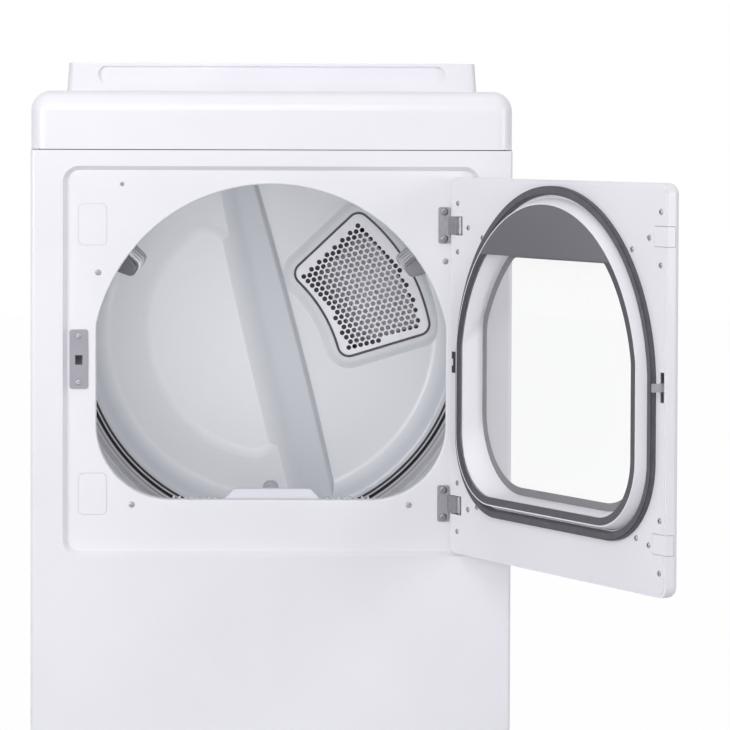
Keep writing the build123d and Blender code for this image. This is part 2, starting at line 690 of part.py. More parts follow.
def heater_coil():
    """Resistance wire laid in two flat zigzags between ceramic bars."""
    x0, x1 = HEATER_X[0] + 14, HEATER_X[1] - 14
    coil = block(x0 - 6.5, x0 - 1.5, HEATER_Y[0] + 10, HEATER_Y[1] - 10, 112 + 1.5, 188 - 1.5)
    coil += block(x1 + 1.5, x1 + 6.5, HEATER_Y[0] + 10, HEATER_Y[1] - 10, 112 + 1.5, 188 - 1.5)
    for z in (132.0, 168.0):
        run = []
        for step in range(9):
            x = x0 if step % 2 else x1
            y = HEATER_Y[0] + 30 + step * 30
            run += [(x, y), (x, y + 15)]
        wire = Pos(0, 0, z) * Polyline(*run)
        edge = wire.edges()[0]
        section = Plane(edge @ 0, z_dir=edge % 0) * Rectangle(3, 3)
        coil += sweep(section, path=wire, transition=Transition.RIGHT)
    return coil


# ---- Lint filter and blower -------------------------------------------------------------------
def lint_channel(grow):
    """Outline of the channel from the filter mouth down to the blower's eye."""
    mouth = Pos(FILTER_X, 318) * Rectangle(FILTER_W + 2 * grow, 158 + 2 * grow)
    eye = Pos(MOTOR_X, MOTOR_Z) * Circle(60 + grow)
    return make_hull([*mouth.edges(), *eye.edges()])


def filter_housing():
    """Lint channel with the comb strips that stand on both sides of the filter's mouth."""
    housing = slab(lint_channel(2), DUCT_FRONT_Y, DUCT_BACK_Y)
    housing -= slab(lint_channel(0), DUCT_FRONT_Y + 2, DUCT_BACK_Y - 2)
    mouth_x0, mouth_x1 = FILTER_X - FILTER_W / 2, FILTER_X + FILTER_W / 2
    housing -= block(mouth_x0, mouth_x1, DUCT_FRONT_Y + 2, DUCT_BACK_Y - 2, 380, 402)
    housing -= post(48, MOTOR_X, MOTOR_Z, DUCT_BACK_Y - 4, DUCT_BACK_Y + 4)
    for x in (mouth_x0, mouth_x1 - 10):
        housing += block(x, x + 10, DUCT_FRONT_Y + 1, DUCT_BACK_Y - 1, FILTER_LOW_Z - 4, FILTER_LOW_Z)
    strips = ((COMB_X[0], mouth_x0 - 2), (mouth_x1 + 2, COMB_X[1]))
    for x0, x1 in strips:
        housing += block(x0, x1, DUCT_FRONT_Y, BULKHEAD_FRONT_Y, COMB_Z - 3, COMB_Z)
        count = int((x1 - x0) / TOOTH_PITCH)
        first = (x0 + x1 - (count - 1) * TOOTH_PITCH) / 2
        for step in range(count):
            x = first + step * TOOTH_PITCH
            housing += block(x - 1.5, x + 1.5, DUCT_FRONT_Y, BULKHEAD_FRONT_Y, COMB_Z, COMB_Z + TOOTH_H)
    return housing


def lint_filter():
    """Pull-out filter: shaped handle, frame with cross bars and the screen between them."""
    half = FILTER_W / 2 - 1
    y0, y1 = DUCT_FRONT_Y + 3.5, DUCT_BACK_Y - 3.5
    frame = block(FILTER_X - half, FILTER_X + half, y0, y1, FILTER_LOW_Z, 401)
    for low, high in ((251, 320), (326, 395)):
        frame -= block(FILTER_X - half + 6, FILTER_X + half - 6, y0 - 1, y1 + 1, low, high)
    screen = block(FILTER_X - half + 5, FILTER_X + half - 5, -311.4, -310.6, 250, 396)
    base = Pos(FILTER_X, -310.5, 401) * Rectangle(137, 20)
    head = Pos(FILTER_X, -309, 415) * Rectangle(112, 12)
    handle = loft([base, head], ruled=True)
    handle = fillet(handle.edges().group_by(Axis.Z)[-1].filter_by(Axis.Y), 9)
    handle = fillet(handle.edges().group_by(Axis.Z)[-1].filter_by(Axis.X), 3)
    handle -= Pos(FILTER_X, -301, 413) * Rot(0, 90, 0) * Cylinder(7, 70)
    return frame + screen + handle


def blower_housing():
    """Scroll round the wheel, with its eye at the front and its outlet to the right."""
    outlet_x = MOTOR_X + SCROLL_OUTLET

    def scroll(grow):
        bowl = Pos(MOTOR_X, MOTOR_Z) * Circle(BLOWER_R + grow)
        low, high = EXHAUST_Z - 53 - grow, EXHAUST_Z + 53 + grow
        outlet = Pos((MOTOR_X + outlet_x) / 2, (low + high) / 2) * Rectangle(outlet_x - MOTOR_X, high - low)
        return Sketch() + bowl + outlet

    housing = slab(scroll(0), BLOWER_FRONT_Y, BLOWER_BACK_Y)
    inside = slab(scroll(-2), BLOWER_FRONT_Y + 2, BLOWER_BACK_Y - 2)
    mouth = block(outlet_x - 4, outlet_x + 4, BLOWER_FRONT_Y + 2, BLOWER_BACK_Y - 2, EXHAUST_Z - 51, EXHAUST_Z + 51)
    housing = housing - inside - mouth
    housing -= post(48, MOTOR_X, MOTOR_Z, BLOWER_FRONT_Y - 1, BLOWER_FRONT_Y + 4)
    housing -= post(SHAFT_R + 4, MOTOR_X, MOTOR_Z, BLOWER_BACK_Y - 4, BLOWER_BACK_Y + 1)
    return housing


def blower_wheel():
    """Squirrel-cage wheel: back disc with hub, curved blades and a front ring."""
    y0, y1 = BLOWER_FRONT_Y + 12, BLOWER_BACK_Y - 12
    wheel = post(WHEEL_R, MOTOR_X, MOTOR_Z, y1 - 2, y1)
    wheel += post(14, MOTOR_X, MOTOR_Z, y1 - 30, y1 + 3)
    rim = Pos(MOTOR_X, MOTOR_Z) * (Circle(WHEEL_R) - Circle(WHEEL_R - 8))
    wheel += slab(rim, y0, y0 + 4)
    for step in range(24):
        blade = Polyline((WHEEL_R - 17, -1), (WHEEL_R - 8, 0.5), (WHEEL_R - 1, 6), (WHEEL_R - 1, 7.8))
        back = Polyline((WHEEL_R - 1, 7.8), (WHEEL_R - 9, 2.3), (WHEEL_R - 17, 0.8), (WHEEL_R - 17, -1))
        face = Pos(MOTOR_X, MOTOR_Z) * Rot(0, 0, step * 15) * make_face([*blade.edges(), *back.edges()])
        wheel += slab(face, y0, y1)
    return wheel - post(SHAFT_R, MOTOR_X, MOTOR_Z, y0 - 1, y1 + 5)


def exhaust_duct():
    """Round pipe from a square flange on the scroll, through a gored elbow, into the rear stub."""
    start_x = MOTOR_X + SCROLL_OUTLET
    end_y = STUB_FRONT_Y + 10
    middle_y = (BLOWER_FRONT_Y + BLOWER_BACK_Y) / 2
    reach = EXHAUST_BEND / cos(radians(15))
    corners = [
        (
            reach * sin(radians(turn)) - EXHAUST_BEND,
            middle_y + EXHAUST_BEND - reach * cos(radians(turn)),
            EXHAUST_Z,
        )
        for turn in (15, 45, 75)
    ]
    path = Polyline((start_x, middle_y, EXHAUST_Z), *corners, (0, end_y + 1, EXHAUST_Z))

    def pipe(radius):
        mouth = Plane((start_x, middle_y, EXHAUST_Z), z_dir=(1, 0, 0)) * Circle(radius)
        return sweep(mouth, path=path, transition=Transition.RIGHT)

    flange = block(start_x, start_x + 1.5, BLOWER_FRONT_Y, BLOWER_BACK_Y, EXHAUST_Z - 53, EXHAUST_Z + 53)
    duct = flange + pipe(PIPE_R) - pipe(PIPE_R - SHEET)
    return duct - block(-60, 60, end_y, end_y + 5, EXHAUST_Z - 60, EXHAUST_Z + 60)


def exhaust_stub():
    """Collar that the outside ducting slips over, on a flange that closes the rear wall's cut-out."""
    flange_y = BACK_Y - 2
    stub = slab(Pos(0, STUB_CUT_Z + 3) * RectangleRounded(148, 134, 8), flange_y - SHEET, flange_y)
    stub += post(EXHAUST_R, 0, EXHAUST_Z, STUB_FRONT_Y, EXHAUST_Y)
    return stub - post(PIPE_R + RUN, 0, EXHAUST_Z, STUB_FRONT_Y - 1, EXHAUST_Y + 1)


# ---- Driveline --------------------------------------------------------------------------------
def motor():
    """Motor body: laminated drum between two end bells, bored for the shaft."""
    shell = post(MOTOR_R, MOTOR_X, MOTOR_Z, -62, 32)
    for y0, y1, inner in ((-78, -62, -84), (32, 48, 54)):
        bell = post(MOTOR_R - 5, MOTOR_X, MOTOR_Z, y0, y1)
        bell = chamfer(edges_at_y(bell, y0 if inner < 0 else y1), 6)
        shell += bell + post(16, MOTOR_X, MOTOR_Z, min(inner, y0), max(inner, y1))
    return shell - post(SHAFT_R + RUN, MOTOR_X, MOTOR_Z, -90, 60)


def drive_bracket():
    """Cradle under the motor and the post that carries the idler arm's pivot."""
    cradle = block(MOTOR_X - 70, MOTOR_X + 70, -60, 30, BASE_Z + 1.5, 100)
    cradle -= post(MOTOR_R + RUN, MOTOR_X, MOTOR_Z, -70, 40)
    cradle -= block(MOTOR_X - 50, MOTOR_X + 50, -61, 31, BASE_Z + 4, 66)
    x, z = IDLER_PIVOT
    stand = block(x - 12, x + 12, BELT_Y + 22, BELT_Y + 26, BASE_Z + 1.5, z + 14)
    stand += block(x - 22, x + 22, BELT_Y + 22, BELT_Y + 50, BASE_Z + 1.5, BASE_Z + 5)
    stand += post(5, x, z, BELT_Y + 6, BELT_Y + 24)
    return cradle, stand


def motor_shaft():
    """Shaft through the motor to the blower wheel, with the grooved belt pulley at its rear end."""
    shaft = post(SHAFT_R, MOTOR_X, MOTOR_Z, BLOWER_BACK_Y - 45, BELT_Y + 12)
    groove = [
        (SHAFT_R - 1, BELT_Y - 9), (PULLEY_R + 3, BELT_Y - 9), (PULLEY_R, BELT_Y - 6), (PULLEY_R, BELT_Y + 6),
        (PULLEY_R + 3, BELT_Y + 9), (SHAFT_R - 1, BELT_Y + 9),
    ]
    return shaft + turned(groove, MOTOR_X, MOTOR_Z)


def idler_arm():
    """Flat arm from its pivot to the idler pulley's stub axle."""
    x, z = IDLER_PIVOT
    outline = make_hull([*(Pos(x, z) * Circle(12)).edges(), *(Pos(IDLER_X, IDLER_Z) * Circle(10)).edges()])
    arm = slab(outline, BELT_Y + 11, BELT_Y + 15)
    arm -= post(5 + RUN, x, z, BELT_Y, BELT_Y + 30)
    return arm + post(5, IDLER_X, IDLER_Z, BELT_Y - 9, BELT_Y + 13)


def idler_pulley():
    """Grooved wheel that holds the belt tight."""
    outline = [
        (5 + RUN, BELT_Y - 8), (IDLER_R + 3, BELT_Y - 8), (IDLER_R, BELT_Y - 6), (IDLER_R, BELT_Y + 6),
        (IDLER_R + 3, BELT_Y + 8), (5 + RUN, BELT_Y + 8),
    ]
    return turned(outline, IDLER_X, IDLER_Z)


def drive_belt():
    """Ribbed belt round the drum, the motor pulley and the idler, drawn as a flat band."""

    def loop(grow):
        circles = (
            (0.0, DRUM_Z, DRUM_R + SHEET), (MOTOR_X, MOTOR_Z, PULLEY_R), (IDLER_X, IDLER_Z, IDLER_R),
        )
        edges = [(Pos(x, z) * Circle(r + grow)).edge() for x, z, r in circles]
        return make_hull(edges)

    band = Sketch() + loop(GAP + BELT_T) - loop(GAP)
    return slab(band, BELT_Y - BELT_W / 2, BELT_Y + BELT_W / 2)


def roller_place(side):
    reach = DRUM_R + SHEET + GAP + ROLLER_R
    turn = radians(ROLLER_ANGLE)
    return side * reach * sin(turn), DRUM_Z - reach * cos(turn)


def roller_axles():
    """Axles riveted to the rear wall, with a flange each side of the roller."""
    axles = []
    for side in (-1, 1):
        x, z = roller_place(side)
        y0, y1 = ROLLER_Y - ROLLER_W / 2, ROLLER_Y + ROLLER_W / 2
        axle = post(AXLE_R, x, z, y0 - 4, BULKHEAD_BACK_Y - SHEET)
        axle += post(11, x, z, y0 - 4, y0 - 1.5)
        axle += post(11, x, z, y1 + 1.5, BULKHEAD_BACK_Y - SHEET)
        axles.append(axle)
    return axles


def drum_roller(side):
    """Wheel with a rubber-coloured tread, turning on its axle."""
    x, z = roller_place(side)
    y0, y1 = ROLLER_Y - ROLLER_W / 2, ROLLER_Y + ROLLER_W / 2
    outline = [
        (AXLE_R + RUN, y0), (16, y0), (18, y0 + 5), (ROLLER_R - 8, y0 + 5), (ROLLER_R - 6, y0), (ROLLER_R, y0),
        (ROLLER_R, y1), (AXLE_R + RUN, y1),
    ]
    return turned(outline, x, z)


# ---- Small fittings on the front --------------------------------------------------------------
def strike_plate():
    """Plate in the recess with the slot for the door's hook and the catch box behind it."""
    face = Pos(STRIKE_X, STRIKE_Z) * RectangleRounded(STRIKE_W, STRIKE_H, 4)
    plate = slab(face, FLOOR_Y - 1.6, FLOOR_Y)
    box = block(STRIKE_X - 8.5, STRIKE_X + 8.5, FLOOR_Y, FLOOR_Y + 18, LATCH_Z - 16, LATCH_Z + 16)
    box -= block(STRIKE_X - 7, STRIKE_X + 7, FLOOR_Y - 0.5, FLOOR_Y + 16.5, LATCH_Z - 14.5, LATCH_Z + 14.5)
    slot_z = (STRIKE_Z + LATCH_Z) / 2
    plate -= block(STRIKE_X - 5.2, STRIKE_X + 5.2, FLOOR_Y - 3, FLOOR_Y + 1, slot_z - 6.8, slot_z + 6.8)
    return plate + box


def door_switch():
    """Switch behind the recess floor, its nose in the small hole."""
    case = block(SWITCH_X - 14, SWITCH_X + 14, FLOOR_Y + SHEET, FLOOR_Y + 16, SWITCH_Z - 9, SWITCH_Z + 9)
    return case + post(2.5, SWITCH_X, SWITCH_Z, FLOOR_Y - 0.6, FLOOR_Y + 3)


def sensor_bars():
    """Two metal strips on the front bulkhead that feel damp clothes."""
    bars = []
    for z in (352.0, 372.0):
        face = Pos(0, z) * SlotOverall(150, 9)
        y = BULKHEAD_FRONT_Y + SHEET
        bars.append(slab(face, y, y + 2.5))
    return bars


def hinge_brackets():
    """Upper and lower cabinet hinge: screwed plate, bent arm and a knuckle for the pin."""
    brackets = []
    for side in (-1, 1):
        z = DOOR_Z + side * HINGE_SPREAD
        face = Pos(246.5, z) * RectangleRounded(17, 52, 3)
        bracket = slab(face, FLOOR_Y - 2, FLOOR_Y)
        arm = Polyline((252, FLOOR_Y), (252, FLOOR_Y - 3), (HINGE_X - 4.2, HINGE_Y - 2), (HINGE_X + 4.2, HINGE_Y + 2),
                       (257.5, FLOOR_Y), close=True)
        bracket += Pos(0, 0, z - 12) * extrude(make_face(arm), 24)
        bracket += upright(6, HINGE_X, HINGE_Y, z - 12, z + 12)
        bracket -= upright(PIN_R + RUN, HINGE_X, HINGE_Y, z - 13, z + 13)
        brackets.append(bracket)
    return brackets


# ---- Door, drawn closed -----------------------------------------------------------------------
def door_height(h):
    """Y of a plane that stands h above the inner panel, towards the cabinet."""
    return PANEL_Y + h


def skin_form(inset):
    """Solid inside the door's outer skin."""
    face = Pos(0, DOOR_Z) * RectangleRounded(SKIN_W - 2 * inset, SKIN_H - 2 * inset, 15 - inset)
    form = slab(face, door_height(-SKIN_DEPTH + inset), door_height(-0.6 if inset == 0 else 5))
    outer = edges_at_y(form, door_height(-SKIN_DEPTH + inset))
    return fillet(outer, SKIN_EDGE_R - inset)


def hinge_slots(sign):
    """Cut-outs at one upright edge of the door for two hinge arms, or for their blank covers."""
    cuts = []
    for side in (-1, 1):
        z = DOOR_Z + side * HINGE_SPREAD
        deep = door_height(-17.5 if sign > 0 else -12.0)
        cut = block(PANEL_W / 2 - 28, SKIN_W / 2 + 2, deep, door_height(1), z - 13.5, z + 13.5)
        cuts.append(cut if sign > 0 else mirror(cut, Plane.YZ))
    return cuts


def door_skin():
    """Outer pan of the door with a rolled hem and the cut-out for the outer glass."""
    skin = skin_form(0) - skin_form(SHEET)
    hem = RectangleRounded(SKIN_W - 1, SKIN_H - 1, 14.5) - RectangleRounded(PANEL_W, PANEL_H, 9.5)
    hem = Pos(0, DOOR_Z) * hem
    skin += slab(hem, door_height(-2.0), door_height(-0.9))
    skin -= slab(round_top(OUTER_WINDOW, 16), door_height(-30), door_height(-10))
    for cut in (*hinge_slots(1), *hinge_slots(-1)):
        skin -= cut
    return skin


def door_inner_panel():
    """Flat inner pan of the door with the hole for the bowl, hinge slots and latch slot."""
    face = Pos(0, DOOR_Z) * RectangleRounded(PANEL_W, PANEL_H, 9.5)
    panel = slab(face, door_height(-SHEET), door_height(0))
    rim_w, rim_h = PANEL_W - 3, PANEL_H - 3
    rim = RectangleRounded(rim_w, rim_h, 8) - RectangleRounded(rim_w - 2 * SHEET, rim_h - 2 * SHEET, 6.8)
    panel += slab(Pos(0, DOOR_Z) * rim, door_height(-13), door_height(-SHEET))
    panel -= slab(round_top(BOWL_BASE), door_height(-3), door_height(3))
    for cut in (*hinge_slots(1), *hinge_slots(-1)):
        panel -= cut
    face_y = door_height(1)
    panel -= block(LATCH_X - 3.8, LATCH_X + 5.5, door_height(-15), face_y, LATCH_Z - 19.5, LATCH_Z + 19.5)
    panel -= block(PANEL_W / 2 - 9, PANEL_W / 2 + 1, door_height(-9), face_y, LATCH_Z - 15, LATCH_Z + 15)
    for z in (LATCH_Z - 21.5, LATCH_Z + 20):
        ear = block(LATCH_X - 5, LATCH_X + 6, door_height(-13), door_height(-SHEET), z, z + 1.5)
        panel += ear - upright(LATCH_PIN_R + RUN, LATCH_X, door_height(-9), z - 1, z + 3)
    return panel


BOWL_BASE = (246.0, 247.5, 592.0, 403.5, 100.0)
TUNNEL_BACK = (221.0, 238.0, 570.0, 424.0, 111.0)


def window_bowl():
    """White moulding of the window: outer wall up to the rim, tunnel wall down to the outer glass."""
    base, rim, back = door_height(0), door_height(BOWL_H), door_height(-16.5)
    ledge = rim - GLASS - FRIT
    roof = ledge - 2.2
    wall = bridge(round_top(BOWL_BASE), base, round_top(BOWL_RIM), rim)
    wall += slab(round_top(BOWL_BASE), back, base)
    channel = slab(round_top(BOWL_BASE, -2.2), back - 1, base)
    channel += bridge(round_top(BOWL_BASE, -2.2), base, round_top(BOWL_RIM, -0.2), roof)
    wall -= channel - bridge(round_top(TUNNEL_BACK, 2), back - 2, round_top(BOWL_RIM, -10), roof + 1)
    wall -= bridge(round_top(TUNNEL_BACK), back - 0.001, round_top(BOWL_RIM, -BORDER_W), roof + 1)
    wall -= slab(round_top(BOWL_RIM, -BORDER_W), roof, rim + 1)
    return wall - slab(round_top(BOWL_RIM, -1.5), ledge, rim + 1)


def inner_glass():
    top = BOWL_H - FRIT
    return slab(round_top(BOWL_RIM, -1.8), door_height(top - GLASS), door_height(top))


def below(outline, z, corner_r):
    """The outline cut off flat above a height, with rounded corners there."""
    keep = Pos(0, z - 400) * Rectangle(800, 800)
    face = (Sketch() + outline & keep).face()
    corners = [v for v in face.vertices() if abs(v.Y - z) < 0.01]
    return face.fillet_2d(corner_r, corners)


def inner_glass_border():
    """Dark border printed on the inner glass: a ring that widens to a mask at the top."""
    clear = below(round_top(BOWL_RIM, -BORDER_W), MASK_LOW_Z, 14)
    return slab(Sketch() + round_top(BOWL_RIM, -1.8) - clear, door_height(BOWL_H - FRIT), door_height(BOWL_H))


def outer_glass():
    """Outer window pane, set in the skin from behind."""
    pane = slab(round_top(OUTER_WINDOW, 15.5), door_height(-20.6), door_height(-20.6 + GLASS))
    rim_back = door_height(-20.6 + GLASS)
    return pane + slab(round_top(OUTER_WINDOW, 22), door_height(-SKIN_DEPTH + SHEET), rim_back)


def outer_glass_border():
    clear = below(round_top(OUTER_WINDOW), OUTER_WINDOW_TOP, 18)
    ring = Sketch() + round_top(TUNNEL_BACK, 0) - clear
    return slab(ring, door_height(-20.6 + GLASS), door_height(-20.6 + GLASS + 0.5))


def door_gasket():
    """Rubber ring round the bowl with a hollow lip that meets the cabinet."""
    foot = Sketch() + round_top(GASKET) - round_top(GASKET, -GASKET_W)
    ring = slab(foot, door_height(0), door_height(GASKET_H - 2))
    crown = Sketch() + round_top(GASKET, -2) - round_top(GASKET, -GASKET_W + 2)
    ring += slab(crown, door_height(GASKET_H - 2), door_height(GASKET_H))
    return ring


def door_slot_covers():
    """Blank covers of the unused hinge slots on the latch side, bent round the door's edge."""
    covers = []
    for side in (-1, 1):
        z = DOOR_Z + side * HINGE_SPREAD
        x0, x1 = -SKIN_W / 2, -PANEL_W / 2 + 27.6
        cover = block(x0, x1, door_height(-1.6), door_height(-0.05), z - 13, z + 13)
        cover += block(x0, x0 + 1.6, door_height(-11.5), door_height(-0.05), z - 13, z + 13)
        cover += block(x1 - 3, x1 + 5, door_height(-2.8), door_height(-SHEET), z - 10, z + 10)
        covers.append(cover)
    return covers


def door_plug():
    """Notched plug that closes the unused latch place on the hinge side."""
    x1 = PANEL_W / 2
    plug = block(x1 - 8.8, x1 - 0.2, door_height(-8), door_height(0.8), LATCH_Z - 15, LATCH_Z + 15)
    return plug - block(x1 - 4, x1, door_height(-9), door_height(2), LATCH_Z - 5, LATCH_Z + 5)


def latch_hook():
    """Hook on a cross pin inside the door; its tongue stands out through the latch slot."""
    z0, z1 = LATCH_Z - 5.5, LATCH_Z + 5.5
    outline = Polyline(
        (LATCH_X - 2.6, door_height(-13)), (LATCH_X + 3, door_height(-13)), (LATCH_X + 3, door_height(-2)),
        (LATCH_X + 1.3, door_height(1)), (LATCH_X + 1.3, door_height(10)), (LATCH_X + 3.4, door_height(12)),
        (LATCH_X + 1.5, door_height(16)), (LATCH_X - 1.5, door_height(16)), (LATCH_X - 2.2, door_height(10)),
        (LATCH_X - 2.2, door_height(1)), (LATCH_X - 2.6, door_height(-2)), close=True,
    )
    hook = Pos(0, 0, z0) * extrude(make_face(outline), z1 - z0)
    return hook + upright(LATCH_PIN_R, LATCH_X, door_height(-9), LATCH_Z - 22.5, LATCH_Z + 22.5)


def hinge_clips():
    """Door side of each hinge: clip behind the inner panel with two ears, and the pin."""
    pieces = []
    for side in (-1, 1):
        z = DOOR_Z + side * HINGE_SPREAD
        clip = block(246, 266, door_height(-2.8), door_height(-SHEET), z - 34, z + 34)
        clip -= block(240, 290, door_height(-3), door_height(0), z - 13.5, z + 13.5)
        for low, high in ((z - 16.5, z - 14), (z + 14, z + 16.5)):
            ear = block(248, 275.5, door_height(-15), door_height(-SHEET), low, high)
            clip += ear
        clip += block(248, 250.5, door_height(-15), door_height(-SHEET), z - 16.5, z + 16.5)
        clip -= upright(PIN_R, HINGE_X, HINGE_Y, z - 20, z + 20)
        pin = upright(PIN_R, HINGE_X, HINGE_Y, z - 18, z + 18)
        pieces += [clip, pin]
    return pieces


# ---- Output -----------------------------------------------------------------------------------
def save_door(node, *pieces):
    """Writes a door node at its rest place, swung open."""
    save(node, *(on_hinge_side(piece) for piece in pieces))


# Cabinet
save("front_panel", front_panel())
save("left_side_panel", side_panel(-1))
save("right_side_panel", side_panel(1))
save("back_panel", back_panel())
save("base_pan", base_pan())
save("top_cap", top_cap())
save("body_covers", *body_covers())
save("strike_plate", strike_plate())
save("door_switch", door_switch())
save("hinge_brackets", *hinge_brackets())
save("terminal_block", *terminal_block())
for name, x, y in (
    ("front_left", -FOOT_X, -FOOT_Y), ("front_right", FOOT_X, -FOOT_Y),
    ("rear_left", -FOOT_X, FOOT_Y), ("rear_right", FOOT_X, FOOT_Y),
):
    save(f"foot_{name}", levelling_foot(x, y))

# Console
save("console_housing", console_housing())
save("control_panel", control_panel())
save("display_window", display_window())
save("control_board", control_board())
save("program_dial", program_dial())
for name, x in BUTTONS.items():
    save(name, push_button(x))

# Drum space
save("front_bulkhead", front_bulkhead())
save("sensor_bars", *sensor_bars())
save("felt_seals", *felt_seals())
save("drum_shell", drum_shell())
save("lifters", *(lifter(angle) for angle in LIFTER_ANGLES))
save("rear_bulkhead", rear_bulkhead())
save("inlet_grille", inlet_grille())
save("grille_seal", inlet_seal())

# Air, heat and drive
save("heater_duct", heater_duct())
save("heater_coil", heater_coil())
save("filter_housing", filter_housing())
save("lint_filter", lint_filter())
save("blower_housing", blower_housing())
save("blower_wheel", blower_wheel())
save("exhaust_duct", exhaust_duct())
save("exhaust_stub", exhaust_stub())
save("motor", motor())
save("drive_brackets", *drive_bracket())
save("motor_shaft", motor_shaft())
save("idler_arm", idler_arm())
save("idler_pulley", idler_pulley())
save("drive_belt", drive_belt())
save("roller_axles", *roller_axles())
save("roller_left", drum_roller(-1))
save("roller_right", drum_roller(1))

# Door
save_door("door_skin", door_skin())
save_door("door_inner_panel", door_inner_panel())
save_door("door_gasket", door_gasket())
save_door("window_bowl", window_bowl())
save_door("inner_glass", inner_glass())
save_door("inner_glass_border", inner_glass_border())
save_door("outer_glass", outer_glass())
save_door("outer_glass_border", outer_glass_border())
save_door("door_slot_covers", *door_slot_covers())
save_door("door_plug", door_plug())
save_door("hinge_clips", *hinge_clips())
save_door("latch_hook", latch_hook())
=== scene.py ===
"""Dresses a free-standing clothes dryer: finishes for its solids, and the small pieces that they lack."""

import json
import math

import bmesh
import bpy
from mathutils import Matrix, Vector
from mathutils.bvhtree import BVHTree


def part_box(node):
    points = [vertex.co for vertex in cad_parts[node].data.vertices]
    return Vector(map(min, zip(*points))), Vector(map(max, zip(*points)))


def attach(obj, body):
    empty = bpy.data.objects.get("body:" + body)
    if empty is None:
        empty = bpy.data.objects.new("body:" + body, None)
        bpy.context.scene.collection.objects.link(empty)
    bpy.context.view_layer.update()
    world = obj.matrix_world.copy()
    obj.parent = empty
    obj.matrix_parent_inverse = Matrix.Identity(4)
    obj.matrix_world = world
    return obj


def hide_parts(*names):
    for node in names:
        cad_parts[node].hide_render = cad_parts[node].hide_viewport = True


bl_info = {
    "name": "Clothes dryer dressing",
    "version": (1, 0, 0),
    "blender": (4, 5, 0),
    "location": "View3D > Sidebar > Dryer",
    "description": "Finishes a vented clothes dryer and adds its grille, screws, seals and markings",
    "category": "Object",
}

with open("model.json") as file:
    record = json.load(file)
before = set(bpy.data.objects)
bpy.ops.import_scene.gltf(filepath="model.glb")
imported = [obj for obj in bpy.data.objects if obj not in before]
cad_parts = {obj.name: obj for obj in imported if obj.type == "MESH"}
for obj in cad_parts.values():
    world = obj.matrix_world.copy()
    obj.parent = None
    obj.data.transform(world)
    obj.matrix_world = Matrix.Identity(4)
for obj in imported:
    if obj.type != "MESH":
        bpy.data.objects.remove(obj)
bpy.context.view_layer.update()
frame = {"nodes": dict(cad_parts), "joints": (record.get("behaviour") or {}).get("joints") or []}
JOINTS = {joint["name"]: joint for joint in frame["joints"]}

# Lengths are in metres, except those of the screws.
SHARPEST_SMOOTH = math.radians(35)

# The door is drawn shut and then swung to its rest place about this axis.
HINGE = Vector(JOINTS["door_hinge"]["pos_m"])
DOOR_SWING = math.radians(-JOINTS["door_hinge"]["range_deg"][0])
DOOR_Z = HINGE.z

# Planes that pieces lie on: the floor of the front panel's recess, the door's inner panel as seen shut,
# the top of the control panel and the back.
PANEL_LO, PANEL_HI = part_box("front_panel")
RECESS_DEPTH = 0.012
DOOR_PANEL_RISE = 0.0077
FLOOR_Y = PANEL_LO.y + RECESS_DEPTH
DOOR_PANEL_Y = FLOOR_Y - DOOR_PANEL_RISE
PANEL_TOP_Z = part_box("display_window")[1].z
BACK_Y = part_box("back_panel")[1].y

# The drum's seam: painted highlight and shade bands from the inner to the outer radius of the cone at its
# rear.
DRUM_Z = JOINTS["drum_spin"]["pos_m"][2]
SEAM_SHADE_RADII = (0.300, 0.320)
SEAM_SHADE_COLOURS = (
    (0.0, "#d2d2d6"), (0.215, "#d2d2d6"), (0.235, "#1b1b1e"), (0.44, "#1b1b1e"), (0.47, "#bfbec3"),
    (0.60, "#bfbec3"), (0.62, "#88878c"), (0.68, "#88878c"), (0.71, "#b9b8bd"),
)

# The rear wall's proudest and deepest parts, over which its painted shade runs from dark to light, and the
# mask's lower edge on the inner glass.
WALL_SHADE_DEPTHS = (0.266, 0.300)
MASK_EDGE = (0.757, 0.759)

# The inlet plate: the tilt of its lattice, the plain rim round the holes and where their field sits.
GRILLE_LO, GRILLE_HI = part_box("inlet_grille")
GRILLE_DEPTH = GRILLE_HI.y - GRILLE_LO.y
GRILLE_TILT = math.radians(-13.4)
GRILLE_RIM = 0.0070
GRILLE_SHIFT = (0, 0, -0.0025)
LATTICE = range(-14, 15)
HOLE_SIDES = 12
WELD_SHARE = 0.02

# The dark frame behind it is painted shade, darkening the plate's outer holes where the duct lies in shade:
# its width, where its window sits, its gap to the plate, its thickness.
SHADE_LINING_WIDTH = 0.021
SHADE_LINING_SHIFT = (0.006, 0, -0.006)
SHADE_LINING_GAP = 0.0008
SHADE_LINING_THICKNESS = 0.001

# The foam strip: what it leaves free of the width, its depth, where its middle lies, its rounding.
STRIP_SHORTFALL = 0.020
STRIP_DEPTH = 0.010
STRIP_SETBACK = 0.0058
STRIP_ROUNDING = 0.003

# Markings: their rise, ticks round the dial, its minutes by angle, and the lettering's heights.
MARK_RISE = 0.00006
TICKS = 12
TICK_RADIUS = 0.0245
TICK_SIZE = (0.0022, 0.0006)
MINUTES = (("0", 90), ("20", 30), ("40", -30), ("60", -150), ("80", 150))
MINUTES_ACROSS, MINUTES_UP = 0.0305, 0.0275
MINUTES_HEIGHT = 0.0042
BUTTON_WORDS = (("power_button", "ON/OFF"), ("start_button", "1"))
WORDS_BELOW = 0.0055
WORDS_HEIGHT = 0.0046
POINTER_OUT = 0.0135
POINTER_SIZE = (0.010, 0.0016, 0.0004)
DIGITS_HEIGHT = 0.019

